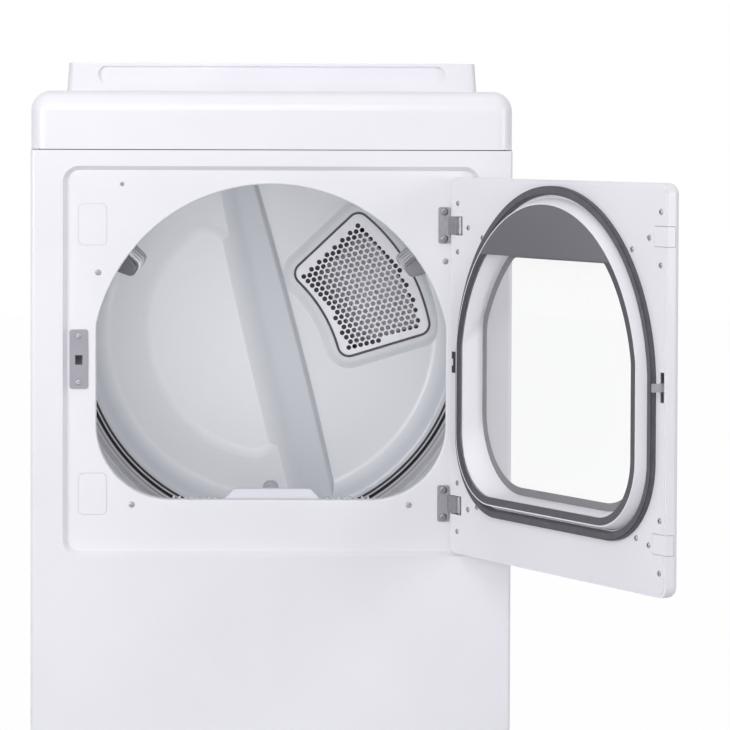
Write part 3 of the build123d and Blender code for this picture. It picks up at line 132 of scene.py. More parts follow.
# Screws: across, up and lift off the recess floor on the cabinet; up from the hinge's middle on its
# plates; across and up from the middle of the door as seen shut, on its inner panel. Millimetres.
BODY_SCREWS = (
    (-247, 726, 0), (-199, 394, 0), (197, 394, 0), (248, 743, 0), (-275, 635, 1.6), (-275, 569, 1.6),
)
HINGE_SCREWS = (218.5, 179.5, -179.5, -218.5)
HINGE_SCREW_X = 246.5
HINGE_PLATE = 2
BACK_SCREWS = tuple(
    (side * x, z)
    for side in (-1, 1)
    for x, z in ((333, 60), (333, 330), (333, 600), (333, 880), (120, 895))
)
STUB_MARGIN = 8
DOOR_SCREWS = (
    (264, 231), (234, 197), (264, 162), (194, 184), (262, -167), (231, -202), (206, -196), (262, -236),
    (-268, 231), (-240, 197), (-199, 181), (-268, 162), (-269, -168), (-213, -196), (-243, -202),
    (-269, -236),
)

# Heads against the cabinet's, and the head's steps from its rim inwards: inset and rise by its radius.
HINGE_HEAD, STUB_HEAD, DOOR_HEAD = 1.3, 0.8, 0.9
HEAD_SIDES = 16
HEAD_RIM = 0.22
HEAD_STEPS = ((0.16, 0.16), (0.22, 0.08), (0.26, 0.0), (0.02, -0.34))

# Lamps: place, target, side in metres and power in watts. The last one lights the drum from inside.
LAMPS = {
    "front_box": ((-0.3, -3.0, 2.1), (0, 0, 0.8), 1.2, 17.0),
    "left_box": ((-1.9, -2.9, 1.2), (0, 0, 0.85), 1.2, 36.0),
    "right_box": ((4.2, -3.4, 1.4), (0, 0, 0.6), 1.8, 50.0),
    "top_box": ((0.0, -0.6, 3.6), (0, 0, 0.9), 2.6, 16.0),
    "drum_lamp": ((-0.06, -0.17, 0.63), (-0.05, 0.28, 0.65), 0.42, 1.45),
}
WORLD_LIGHT = 0.42
FLOOR_GLOW = 0.985
FLOOR_HALF = 12.0

# The camera: its place, its turn in degrees, and its lens and sensor in millimetres.
CAMERA_PLACE = (0.0, PANEL_LO.y - 5.059, 0.935)
CAMERA_TURN = (90 - 2.0794, -0.17, -0.5597)
CAMERA_LENS = 175.4
CAMERA_SENSOR = 36.0
CAMERA_SHIFT = (0.08, -0.15)
CAMERA_REACH = 60.0


# ---- Helpers ----------------------------------------------------------------------------------
def linear(code):
    """An sRGB hex colour as linear red, green, blue and alpha."""
    channels = [int(code[i : i + 2], 16) / 255 for i in (1, 3, 5)]
    return [c / 12.92 if c <= 0.04045 else ((c + 0.055) / 1.055) ** 2.4 for c in channels] + [1.0]


def per_mm(size):
    """Scale of a texture whose features are this many millimetres across."""
    return 1000.0 / size


def add_node(tree, kind, settings, links=None):
    """Adds a node, sets its sockets and properties, and links its inputs; sockets go by name or number."""
    node = tree.nodes.new("ShaderNode" + kind)
    for name, value in settings.items():
        if isinstance(name, int) or name in node.inputs:
            node.inputs[name].default_value = value
        else:
            setattr(node, name, value)
    for name, source in (links or {}).items():
        tree.links.new(source, node.inputs[name])
    return node


def start_material(name, colour, roughness, **sockets):
    """A material with its principled shader set, and its object coordinates ready."""
    material = bpy.data.materials.new(name)
    material.use_nodes = True
    tree = material.node_tree
    shader = tree.nodes["Principled BSDF"]
    shader.inputs["Base Color"].default_value = linear(colour)
    shader.inputs["Roughness"].default_value = roughness
    for socket, value in sockets.items():
        shader.inputs[socket.replace("_", " ")].default_value = value
    place = add_node(tree, "TexCoord", {}).outputs["Object"]
    return material, tree, shader, place


def vary_colour(tree, shader, source, dark, light, low=0.35, high=0.65):
    """Runs the base colour between two near colours as a pattern goes from low to high."""
    ramp = add_node(tree, "ValToRGB", {}, {"Fac": source})
    ramp.color_ramp.elements[0].position = low
    ramp.color_ramp.elements[0].color = linear(dark)
    ramp.color_ramp.elements[1].position = high
    ramp.color_ramp.elements[1].color = linear(light)
    tree.links.new(ramp.outputs["Color"], shader.inputs["Base Color"])


def vary_roughness(tree, shader, source, low, high):
    """Maps a pattern onto the roughness."""
    spread = add_node(tree, "MapRange", {"To Min": low, "To Max": high}, {"Value": source})
    tree.links.new(spread.outputs["Result"], shader.inputs["Roughness"])


def raise_surface(tree, shader, source, height_mm):
    """Bump from a pattern, with its real height."""
    settings = {"Distance": height_mm / 1000, "Strength": 1.0}
    bump = add_node(tree, "Bump", settings, {"Height": source})
    tree.links.new(bump.outputs["Normal"], shader.inputs["Normal"])


def noise(tree, place, size_mm, detail=2.0, roughness=0.5):
    """A cloudy pattern whose patches are this many millimetres across."""
    settings = {"Scale": per_mm(size_mm), "Detail": detail, "Roughness": roughness}
    return add_node(tree, "TexNoise", settings, {"Vector": place}).outputs["Fac"]


def stretch(tree, place, scale):
    """Coordinates scaled along each axis, so that a pattern on them draws out into lines."""
    return add_node(tree, "Mapping", {"Scale": scale}, {"Vector": place}).outputs["Vector"]


def along_axis(tree, place, axis, start, end):
    """Goes from 0 to 1 between two coordinates on an axis."""
    value = add_node(tree, "SeparateXYZ", {}, {"Vector": place}).outputs[axis]
    reach = add_node(tree, "MapRange", {"From Min": start, "From Max": end}, {"Value": value})
    return reach.outputs["Result"]


# ---- Materials --------------------------------------------------------------------------------
def baked_enamel():
    """Sprayed and baked on steel: an even gloss over a faint orange peel, with hardly any variation."""
    material, tree, shader, place = start_material(
        "baked_enamel_steel", "#f0eff3", 0.34, Coat_Weight=0.25, Coat_Roughness=0.12)
    cloud = noise(tree, place, 180.0)
    vary_colour(tree, shader, cloud, "#efeef2", "#f2f1f5")
    peel = noise(tree, place, 2.2, 1.0)
    raise_surface(tree, shader, peel, 0.010)
    vary_roughness(tree, shader, cloud, 0.30, 0.38)
    return material


def zinc_sheet():
    """Hot-dipped zinc on sheet steel: pale crystals of a few millimetres, each with its own sheen."""
    material, tree, shader, place = start_material("galvanised_steel", "#b9bcc0", 0.42, Metallic=1.0)
    cells = add_node(tree, "TexVoronoi", {"Scale": per_mm(7.0)}, {"Vector": place})
    tone = add_node(tree, "RGBToBW", {}, {"Color": cells.outputs["Color"]}).outputs["Val"]
    vary_colour(tree, shader, tone, "#a9adb2", "#c9cbce", 0.1, 0.9)
    vary_roughness(tree, shader, tone, 0.34, 0.52)
    return material


def heated_steel():
    """Aluminised duct steel dulled by the heater: an even pale grey, clouded a little."""
    material, tree, shader, place = start_material(
        "heat_dulled_aluminised_steel", "#d8d7dc", 0.6, Metallic=0.1)
    cloud = noise(tree, place, 45.0, 3.0)
    vary_colour(tree, shader, cloud, "#d2d1d6", "#dedde2")
    vary_roughness(tree, shader, cloud, 0.5, 0.7)
    return material


def drum_coat():
    """Rolled drum steel, satin grey, drawn in rings, with painted highlight and shade bands across the cone
    at its rear: a pale band on the rolled edge, a black band for the shaded groove, and lit and shaded rings
    for its beads.
    """
    material, tree, shader, place = start_material("rolled_drum_steel", "#b9b8bd", 0.36, Metallic=0.3)
    axis = (0.0, 0.0, DRUM_Z)
    from_axis = add_node(tree, "VectorMath", {"operation": "SUBTRACT", 1: axis}, {0: place}).outputs[0]
    flat = add_node(
        tree, "VectorMath", {"operation": "MULTIPLY", 1: (1.0, 0.0, 1.0)}, {0: from_axis}).outputs[0]
    radius = add_node(tree, "VectorMath", {"operation": "LENGTH"}, {0: flat}).outputs["Value"]
    # Painted light: the bands across the seam stand in for a highlight on the rolled edge, shade in the
    # groove and the shading of the beads.
    inner, outer = SEAM_SHADE_RADII
    reach = add_node(tree, "MapRange", {"From Min": inner, "From Max": outer}, {"Value": radius})
    seam = add_node(tree, "ValToRGB", {"label": "painted highlight and shade across the cone"}, {"Fac": reach.outputs["Result"]})
    ramp = seam.color_ramp.elements
    while len(ramp) < len(SEAM_SHADE_COLOURS):
        ramp.new(1.0)
    for element, (position, colour) in zip(ramp, SEAM_SHADE_COLOURS):
        element.position = position
        element.color = linear(colour)
    tree.links.new(seam.outputs["Color"], shader.inputs["Base Color"])
    stretched = stretch(tree, place, (0.1, 1.0, 0.1))
    grain = noise(tree, stretched, 2.5, 3.0)
    vary_roughness(tree, shader, grain, 0.30, 0.46)
    raise_surface(tree, shader, grain, 0.02)
    return material


def wall_coat():
    """Light powder coat on the pressed rear wall and front bulkhead: half-gloss, with painted shade that
    makes it bluer and darker where the pressing stands proud, so that its ridge reads from the front."""
    material, tree, shader, place = start_material(
        "powder_coated_bulkhead_steel", "#dfe1e6", 0.30, Coat_Weight=0.3, Coat_Roughness=0.15)
    # Painted shade: darker and bluer where the wall stands proud towards the front.
    depth = along_axis(tree, place, "Y", *WALL_SHADE_DEPTHS)
    vary_colour(tree, shader, depth, "#c2c5cb", "#f2f4f6", 0.0, 1.0)
    vary_roughness(tree, shader, noise(tree, place, 90.0), 0.26, 0.34)
    raise_surface(tree, shader, noise(tree, place, 2.0, 1.0), 0.010)
    return material


def moulded_white():
    """Injection-moulded white ABS: even colour, fine spark texture that softens the highlight."""
    material, tree, shader, place = start_material("moulded_white_abs", "#f6f5f9", 0.42, IOR=1.52)
    spark = noise(tree, place, 0.9, 2.0)
    vary_colour(tree, shader, noise(tree, place, 120.0), "#f5f4f8", "#f8f7fb")
    raise_surface(tree, shader, spark, 0.012)
    vary_roughness(tree, shader, spark, 0.38, 0.48)
    return material


def moulded_pale():
    """Injection-moulded pale grey polypropylene: a waxy half-gloss that softens its edges."""
    material, tree, shader, place = start_material("moulded_pale_polypropylene", "#dbdce3", 0.45, IOR=1.49)
    vary_colour(tree, shader, noise(tree, place, 60.0), "#d9dae1", "#dedfe6")
    raise_surface(tree, shader, noise(tree, place, 1.0, 2.0), 0.012)
    return material


def moulded_grey():
    """Injection-moulded grey polypropylene: waxy, with a little flow marking."""
    material, tree, shader, place = start_material("moulded_grey_polypropylene", "#a4a3aa", 0.45, IOR=1.49)
    vary_colour(tree, shader, noise(tree, place, 40.0), "#a1a0a7", "#a7a6ad")
    raise_surface(tree, shader, noise(tree, place, 1.0, 2.0), 0.015)
    return material


def moulded_dark():
    """Glass-filled nylon, near black: dull with a pale bloom on its grain."""
    material, tree, shader, place = start_material("moulded_dark_nylon", "#2f2f33", 0.55, IOR=1.53)
    grain = noise(tree, place, 1.2, 3.0)
    vary_colour(tree, shader, grain, "#2a2a2e", "#37373b")
    raise_surface(tree, shader, grain, 0.02)
    return material


def seal_rubber():
    """Extruded EPDM: matt charcoal with a faint dusty bloom along its length."""
    material, tree, shader, place = start_material("extruded_epdm_rubber", "#58565c", 0.62, IOR=1.52)
    bloom = noise(tree, place, 14.0, 4.0)
    vary_colour(tree, shader, bloom, "#545258", "#5e5c62")
    vary_roughness(tree, shader, bloom, 0.56, 0.72)
    raise_surface(tree, shader, noise(tree, place, 1.1, 3.0), 0.02)
    return material


def belt_rubber():
    """Neoprene belt with fabric in its back: black, matt, with a fine weave."""
    material, tree, shader, place = start_material("neoprene_belt", "#1c1c1e", 0.7)
    weave = add_node(tree, "TexWave", {"Scale": per_mm(12.0), "bands_direction": "X"}, {"Vector": place})
    raise_surface(tree, shader, weave.outputs["Fac"], 0.05)
    return material


def black_foam():
    """Closed-cell foam strip: flat black, with its cells as a fine grain."""
    material, tree, shader, place = start_material("closed_cell_foam", "#121214", 0.9)
    cells = add_node(tree, "TexVoronoi", {"Scale": per_mm(1.2)}, {"Vector": place}).outputs["Distance"]
    raise_surface(tree, shader, cells, 0.1)
    return material


def pressed_felt():
    """Wool felt: soft and matt, with fibres showing as a coarse cloud."""
    material, tree, shader, place = start_material(
        "pressed_wool_felt", "#3d3b39", 0.95, Sheen_Weight=0.4, Sheen_Roughness=0.6)
    fibre = noise(tree, place, 3.0, 6.0, 0.7)
    vary_colour(tree, shader, fibre, "#343230", "#494744")
    raise_surface(tree, shader, fibre, 0.3)
    return material


def float_glass():
    """Thin tempered float glass: clear enough to light what lies behind it, with a faint gloss."""
    material, tree, shader, place = start_material(
        "tempered_float_glass", "#fbfdfc", 0.02, IOR=1.5, Alpha=0.05)
    vary_roughness(tree, shader, noise(tree, place, 300.0), 0.01, 0.03)
    return material


def ceramic_border():
    """Ceramic ink fired on the outer glass: smooth mid grey with the gloss of the pane."""
    material, tree, shader, place = start_material("fired_ceramic_ink", "#737277", 0.30, IOR=1.5)
    vary_colour(tree, shader, noise(tree, place, 50.0), "#706f74", "#76757a")
    return material


def ceramic_mask():
    """Ceramic ink fired on the inner glass: glossy charcoal, paler where the mask fills the top."""
    material, tree, shader, place = start_material("fired_ceramic_mask", "#737277", 0.30, IOR=1.5)
    height = along_axis(tree, place, "Z", *MASK_EDGE)
    vary_colour(tree, shader, height, "#504e54", "#737277", 0.0, 1.0)
    return material


def grille_coat():
    """Powder coat on the perforated inlet plate: nearly white, half-gloss."""
    material, tree, shader, place = start_material("powder_coated_perforated_steel", "#ecebf0", 0.35)
    vary_colour(tree, shader, noise(tree, place, 30.0), "#eae9ee", "#eeedf2")
    raise_surface(tree, shader, noise(tree, place, 1.5, 2.0), 0.012)
    return material


def nickel_plate():
    """Nickel plate on pressed steel: a dull satin metal with rolling marks along Z."""
    material, tree, shader, place = start_material("nickel_plated_steel", "#96959b", 0.42, Metallic=0.85)
    stretched = stretch(tree, place, (1.0, 1.0, 0.08))
    marks = noise(tree, stretched, 0.8, 3.0)
    vary_colour(tree, shader, marks, "#8c8b91", "#a09fa5")
    vary_roughness(tree, shader, marks, 0.34, 0.50)
    return material


def bright_steel():
    """Zinc-plated screw heads: bright and slightly rough, so that each dome catches a highlight."""
    material, tree, shader, place = start_material("zinc_plated_screw_steel", "#87868c", 0.34, Metallic=1.0)
    wear = noise(tree, place, 2.0, 3.0)
    vary_roughness(tree, shader, wear, 0.28, 0.42)
    return material


def screw_steel():
    """Oxide-finished screws: mid grey, with bright wear where the driver turned them."""
    material, tree, shader, place = start_material(
        "oxide_finished_screw_steel", "#a5a4aa", 0.34, Metallic=0.9)
    wear = noise(tree, place, 2.0, 3.0)
    vary_colour(tree, shader, wear, "#8f8e94", "#b7b6bc")
    vary_roughness(tree, shader, wear, 0.35, 0.55)
    return material


def motor_paint():
    """Sprayed motor enamel over laminations: dark, with a faint stack of edges."""
    material, tree, shader, place = start_material("sprayed_motor_enamel", "#3a3b40", 0.5)
    stack = add_node(tree, "TexWave", {"Scale": per_mm(6.0), "bands_direction": "Y"}, {"Vector": place})
    raise_surface(tree, shader, stack.outputs["Fac"], 0.15)
    return material


def board_laminate():
    """Glass-epoxy circuit board: green mask with the weave just showing."""
    material, tree, shader, place = start_material("glass_epoxy_laminate", "#2c5a3c", 0.4)
    weave = add_node(tree, "TexChecker", {"Scale": per_mm(1.0)}, {"Vector": place})
    raise_surface(tree, shader, weave.outputs["Fac"], 0.01)
    return material


def smoked_window():
    """Smoked acrylic over the display: nearly black with a clear gloss."""
    material, tree, shader, place = start_material(
        "smoked_acrylic", "#141417", 0.08, IOR=1.49, Coat_Weight=0.5)
    vary_roughness(tree, shader, noise(tree, place, 30.0), 0.06, 0.12)
    return material


def printed_ink():
    """Pad-printed marks: flat mid grey."""
    material, tree, shader, place = start_material("pad_printed_ink", "#6a6a70", 0.6)
    vary_colour(tree, shader, noise(tree, place, 1.0), "#66666c", "#6e6e74")
    return material


def lit_segment():
    """Segments of the display, faintly lit."""
    colour = "#d7e4f0"
    return start_material(
        "lit_display_segment", colour, 0.4, Emission_Color=linear(colour), Emission_Strength=0.6)[0]


FINISHES = {
    baked_enamel: (
        "front_panel", "left_side_panel", "right_side_panel", "top_cap", "door_skin", "door_inner_panel",
        "body_covers", "door_slot_covers",
    ),
    zinc_sheet: ("back_panel", "base_pan", "exhaust_duct", "exhaust_stub", "drive_brackets", "idler_arm"),
    heated_steel: ("heater_duct",),
    drum_coat: ("drum_shell",),
    wall_coat: ("front_bulkhead", "rear_bulkhead"),
    moulded_white: ("console_housing", "control_panel", "window_bowl"),
    moulded_pale: ("filter_housing", "lint_filter"),
    moulded_grey: (
        "lifters", "blower_housing", "blower_wheel", "strike_plate", "door_switch", "latch_hook",
        "program_dial", "power_button", "start_button",
    ),
    moulded_dark: (
        "terminal_block", "idler_pulley", "door_plug", "foot_front_left", "foot_front_right",
        "foot_rear_left", "foot_rear_right",
    ),
    seal_rubber: ("grille_seal", "door_gasket", "roller_left", "roller_right"),
    belt_rubber: ("drive_belt",),
    pressed_felt: ("felt_seals",),
    float_glass: ("inner_glass", "outer_glass"),
    ceramic_mask: ("inner_glass_border",),
    ceramic_border: ("outer_glass_border",),
    grille_coat: ("inlet_grille",),
    nickel_plate: (
        "heater_coil", "sensor_bars", "hinge_brackets", "roller_axles", "motor_shaft", "hinge_clips",
    ),
    motor_paint: ("motor",),
    board_laminate: ("control_board",),
    smoked_window: ("display_window",),
}
MADE = {}


def finish_of(maker):
    """Each finish is made once."""
    if maker not in MADE:
        MADE[maker] = maker()
    return MADE[maker]


# ---- Mesh helpers -----------------------------------------------------------------------------
def finish_piece(bm, name, maker, body, smooth=True, on_door=False):
    """Turns a bmesh into a named piece that rides on a body of the frame; one on the door is drawn shut."""
    if on_door:
        turn = Matrix.Rotation(DOOR_SWING, 4, "Z")
        swing = Matrix.Translation(HINGE) @ turn @ Matrix.Translation(-HINGE)
        bmesh.ops.transform(bm, matrix=swing, verts=bm.verts)
    bmesh.ops.recalc_face_normals(bm, faces=bm.faces)
    mesh = bpy.data.meshes.new(name)
    bm.to_mesh(mesh)
    bm.free()
    obj = bpy.data.objects.new(name, mesh)
    bpy.context.scene.collection.objects.link(obj)
    mesh.materials.append(finish_of(maker))
    if smooth:
        mesh.shade_smooth()
        mesh.set_sharp_from_angle(angle=SHARPEST_SMOOTH)
    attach(obj, body)
    return obj


def add_screw(bm, place, radius, toward):
    """A pan-head screw with a sunk driver recess; toward is -1 for the front and 1 for the rear."""
    matrix = Matrix.Translation(place) @ Matrix.Rotation(math.radians(-90 * toward), 4, "X")
    head = bmesh.ops.create_circle(bm, cap_ends=True, segments=HEAD_SIDES, radius=radius, matrix=matrix)
    rim = head["verts"]
    crown = rim[0].link_faces[0]
    rise = Vector((0, toward, 0))
    raised = bmesh.ops.extrude_discrete_faces(bm, faces=[crown])["faces"][0]
    bmesh.ops.translate(bm, verts=list(raised.verts), vec=rise * radius * HEAD_RIM)
    for inward, height in HEAD_STEPS:
        bmesh.ops.inset_individual(bm, faces=[raised], thickness=radius * inward, depth=0)
        bmesh.ops.translate(bm, verts=list(raised.verts), vec=rise * radius * height)


def plate_outline(node, near=1e-5):
    """Outer corners of a flat plate's front face, in order, read from its solid."""
    bm = bmesh.new()
    bm.from_mesh(frame["nodes"][node].data)
    bmesh.ops.remove_doubles(bm, verts=bm.verts, dist=near)
    front = min(v.co.y for v in bm.verts)
    rest = [f for f in bm.faces if any(v.co.y > front + near for v in f.verts)]
    bmesh.ops.delete(bm, geom=rest, context="FACES")
    edges = [e for e in bm.edges if e.is_boundary]
    loops = []
    while edges:
        edge = edges.pop()
        loop = [edge.verts[0], edge.verts[1]]
        while loop[-1] is not loop[0]:
            edge = next(e for e in loop[-1].link_edges if e in edges)
            edges.remove(edge)
            loop.append(edge.other_vert(loop[-1]))
        loops.append([v.co.copy() for v in loop[:-1]])
    bm.free()
    return max(loops, key=lambda loop: max(p.x for p in loop) - min(p.x for p in loop))


def inset_field(bm, outline, thickness, shift):
    """A face over an outline, inset and shifted as a whole; returns it, with the ring round it in place."""
    field = bm.faces.new([bm.verts.new(point) for point in outline])
    field.normal_update()
    bmesh.ops.inset_region(bm, faces=[field], thickness=thickness, use_boundary=True, use_even_offset=True)
    bmesh.ops.translate(bm, verts=list(field.verts), vec=shift)
    return field


def thicken(bm, depth):
    """Gives a sheet that faces the front a thickness behind it."""
    back = bmesh.ops.extrude_face_region(bm, geom=bm.faces[:], use_keep_orig=True)["geom"]
    back = [item for item in back if isinstance(item, bmesh.types.BMVert)]
    bmesh.ops.translate(bm, verts=back, vec=(0, depth, 0))


def add_text(bm, words, place, height):
    """Lettering that lies flat and faces up, with its middle at a place."""
    curve = bpy.data.curves.new(words, "FONT")
    curve.body = words
    curve.size = height
    curve.align_x = "CENTER"
    curve.align_y = "CENTER"
    curve.resolution_u = 2
    curve.extrude = MARK_RISE
    holder = bpy.data.objects.new(words, curve)
    letters = holder.to_mesh()
    letters.transform(Matrix.Translation(place))
    bm.from_mesh(letters)
    holder.to_mesh_clear()
    bpy.data.objects.remove(holder)
    bpy.data.curves.remove(curve)


def add_bar(bm, place, length, width, rise, turn=0.0):
    """A flat bar with softened ends, facing up, along the direction it is turned to."""
    bar = bmesh.ops.create_cube(bm, size=1.0)["verts"]
    bmesh.ops.scale(bm, vec=(length, width, rise), verts=bar)
    edges = dict.fromkeys(e for v in bar for e in v.link_edges)
    ends = [e for e in edges if abs(e.verts[0].co.z - e.verts[1].co.z) > rise / 2]
    cut = bmesh.ops.bevel(
        bm, geom=ends, offset=width * 0.45, segments=2, profile=0.5, affect="EDGES", material=-1)
    verts = {v for f in cut["faces"] for v in f.verts} | {v for v in bar if v.is_valid}
    move = Matrix.Translation(place) @ Matrix.Rotation(turn, 4, "Z")
    bmesh.ops.transform(bm, matrix=move, verts=list(verts))


# ---- Settings ---------------------------------------------------------------------------------
class DryerSizes(bpy.types.PropertyGroup):
    hole: bpy.props.FloatProperty(
        name="Grille hole", description="Diameter of the hot-air holes", default=0.0079, unit="LENGTH")
    pitch: bpy.props.FloatProperty(
        name="Grille pitch", description="Distance between the holes' middles", default=0.0098, unit="LENGTH")
    screw: bpy.props.FloatProperty(
        name="Screw head", description="Radius of the pan-head screws", default=0.0042, unit="LENGTH")


# ---- Operators --------------------------------------------------------------------------------
class DRYER_OT_finishes(bpy.types.Operator):
    """Gives each solid of the dryer the finish of the real one"""

    bl_idname = "dryer.finishes"
    bl_label = "Apply finishes"

    def execute(self, context):
        for maker, nodes in FINISHES.items():
            for name in nodes:
                obj = frame["nodes"][name]
                obj.data.materials.clear()
                obj.data.materials.append(finish_of(maker))
        return {"FINISHED"}


class DRYER_OT_grille(bpy.types.Operator):
    """Makes the hot-air inlet's plate, with staggered rows of round holes wherever a whole one fits"""

    bl_idname = "dryer.grille"
    bl_label = "Add perforated inlet plate"

    def execute(self, context):
        sizes = context.scene.dryer_sizes
        outline = plate_outline("inlet_grille")
        bm = bmesh.new()
        hole_verts = set()
        for centre in self.hole_centres(outline, sizes):
            hole_verts |= self.add_cell(bm, centre, sizes)
        cell_verts = [v for v in bm.verts if v not in hole_verts]
        bmesh.ops.remove_doubles(bm, verts=cell_verts, dist=sizes.pitch * WELD_SHARE)
        rim = [e for e in bm.edges if e.is_boundary and not hole_verts.issuperset(e.verts)]
        corners = [bm.verts.new(point) for point in outline]
        rim += [bm.edges.new((a, b)) for a, b in zip(corners, corners[1:] + corners[:1])]
        bmesh.ops.triangle_fill(bm, use_beauty=True, edges=rim)
        thicken(bm, GRILLE_DEPTH)
        piece = finish_piece(
            bm, "perforated_inlet_plate", grille_coat, "cabinet", smooth=False)
        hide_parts("inlet_grille")
        return {"FINISHED"}

    def add_cell(self, bm, centre, sizes):
        """One hexagonal cell with a round hole; returns the hole's corners."""
        tilt = Matrix.Translation(centre) @ Matrix.Rotation(GRILLE_TILT, 4, "Y")
        turn = tilt @ Matrix.Rotation(math.radians(90), 4, "X")
        ring = bmesh.ops.create_circle(bm, segments=HOLE_SIDES, radius=sizes.hole / 2, matrix=turn)["verts"]
        edges = list(dict.fromkeys(e for v in ring for e in v.link_edges))
        outer = bmesh.ops.extrude_edge_only(bm, edges=edges)["geom"]
        for vert in (item for item in outer if isinstance(item, bmesh.types.BMVert)):
            out = (vert.co - centre).normalized()
            along = abs((tilt.inverted().to_3x3() @ out).x)
            at_middle = min(abs(along - 1.0), abs(along - 0.5)) < 0.01
            vert.co = centre + out * sizes.pitch * (0.5 if at_middle else 1 / math.sqrt(3))
        return set(ring)

    def hole_centres(self, outline, sizes):
        """Lattice points over the part of the plate that lies inside its rim."""
        bm = bmesh.new()
        field = inset_field(bm, outline, sizes.hole / 2 + GRILLE_RIM, GRILLE_SHIFT)
        bmesh.ops.delete(bm, geom=[f for f in bm.faces if f is not field], context="FACES")
        bmesh.ops.triangulate(bm, faces=bm.faces)
        tree = BVHTree.FromBMesh(bm)
        bm.free()
        middle = (GRILLE_LO + GRILLE_HI) / 2
        along, across = sizes.pitch, sizes.pitch * math.sqrt(0.75)
        tilt = Matrix.Rotation(GRILLE_TILT, 4, "Y")
        found = []
        for row in LATTICE:
            for column in LATTICE:
                step = tilt @ Vector(((column + 0.5 * (row % 2)) * along, 0, row * across))
                centre = Vector((middle.x + step.x, GRILLE_LO.y, middle.z + step.z))
                if tree.ray_cast(centre - Vector((0, 0.01, 0)), (0, 1, 0))[0]:
                    found.append(centre)
        return found


class DRYER_OT_seam(bpy.types.Operator):
    """Puts the black foam strip in the joint between the worktop and the front panel"""

    bl_idname = "dryer.seam"
    bl_label = "Add seam strip"

    def execute(self, context):
        low, high = PANEL_HI.z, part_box("top_cap")[0].z
        bm = bmesh.new()
        strip = bmesh.ops.create_cube(bm, size=1.0)["verts"]
        width = PANEL_HI.x - PANEL_LO.x - STRIP_SHORTFALL
        bmesh.ops.scale(bm, vec=(width, STRIP_DEPTH, high - low), verts=strip)
        bmesh.ops.translate(bm, verts=strip, vec=(0, PANEL_LO.y + STRIP_SETBACK, (low + high) / 2))
        ends = [e for e in bm.edges if abs(e.verts[0].co.z - e.verts[1].co.z) > (high - low) / 2]
        bmesh.ops.bevel(
            bm, geom=ends, offset=STRIP_ROUNDING, segments=2, profile=0.5, affect="EDGES", material=-1)
        finish_piece(bm, "worktop_seam_strip", black_foam, "cabinet")
        return {"FINISHED"}


class DRYER_OT_shade_lining(bpy.types.Operator):
    """Puts a dark frame behind the inlet plate as painted shade, which shows through its outer holes"""

    bl_idname = "dryer.lining"
    bl_label = "Add inlet shade lining"

    def execute(self, context):
        bm = bmesh.new()
        # Painted shade: a dark frame behind the outer holes, where the duct behind the plate lies in shade.
        field = inset_field(bm, plate_outline("inlet_grille"), SHADE_LINING_WIDTH, SHADE_LINING_SHIFT)
        bmesh.ops.delete(bm, geom=[field], context="FACES_ONLY")
        bmesh.ops.translate(bm, verts=bm.verts, vec=(0, GRILLE_DEPTH + SHADE_LINING_GAP, 0))
        thicken(bm, SHADE_LINING_THICKNESS)
        finish_piece(bm, "inlet_shade_lining", moulded_dark, "cabinet", smooth=False)
        return {"FINISHED"}


class DRYER_OT_markings(bpy.types.Operator):
    """Prints the marks on the control panel and lights the display"""

    bl_idname = "dryer.markings"
    bl_label = "Add markings"

    def execute(self, context):
        lo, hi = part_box("program_dial")
        dial = Vector(((lo.x + hi.x) / 2, (lo.y + hi.y) / 2, PANEL_TOP_Z + MARK_RISE))
        bm = bmesh.new()
        for step in range(TICKS):
            turn = math.radians(360 / TICKS * step)
            out = Vector((math.cos(turn), math.sin(turn), 0))
            add_bar(bm, dial + out * TICK_RADIUS, *TICK_SIZE, MARK_RISE, turn)
        for words, degrees in MINUTES:
            turn = math.radians(degrees)
            out = Vector((math.cos(turn) * MINUTES_ACROSS, math.sin(turn) * MINUTES_UP, 0))
            add_text(bm, words, dial + out, MINUTES_HEIGHT)
        for node, words in BUTTON_WORDS:
            lo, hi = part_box(node)
            place = Vector(((lo.x + hi.x) / 2, lo.y - WORDS_BELOW, PANEL_TOP_Z + MARK_RISE))
            add_text(bm, words, place, WORDS_HEIGHT)
        finish_piece(bm, "control_markings", printed_ink, "cabinet", smooth=False)
        bm = bmesh.new()
        pointer = Vector((dial.x, dial.y + POINTER_OUT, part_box("program_dial")[1].z))
        add_bar(bm, pointer, *POINTER_SIZE, math.radians(90))
        finish_piece(bm, "dial_pointer", printed_ink, "dial", smooth=False)
        lo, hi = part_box("display_window")
        bm = bmesh.new()
        place = Vector(((lo.x + hi.x) / 2, (lo.y + hi.y) / 2, hi.z + MARK_RISE))
        add_text(bm, "0:45", place, DIGITS_HEIGHT)
        finish_piece(bm, "display_digits", lit_segment, "cabinet", smooth=False)
        return {"FINISHED"}


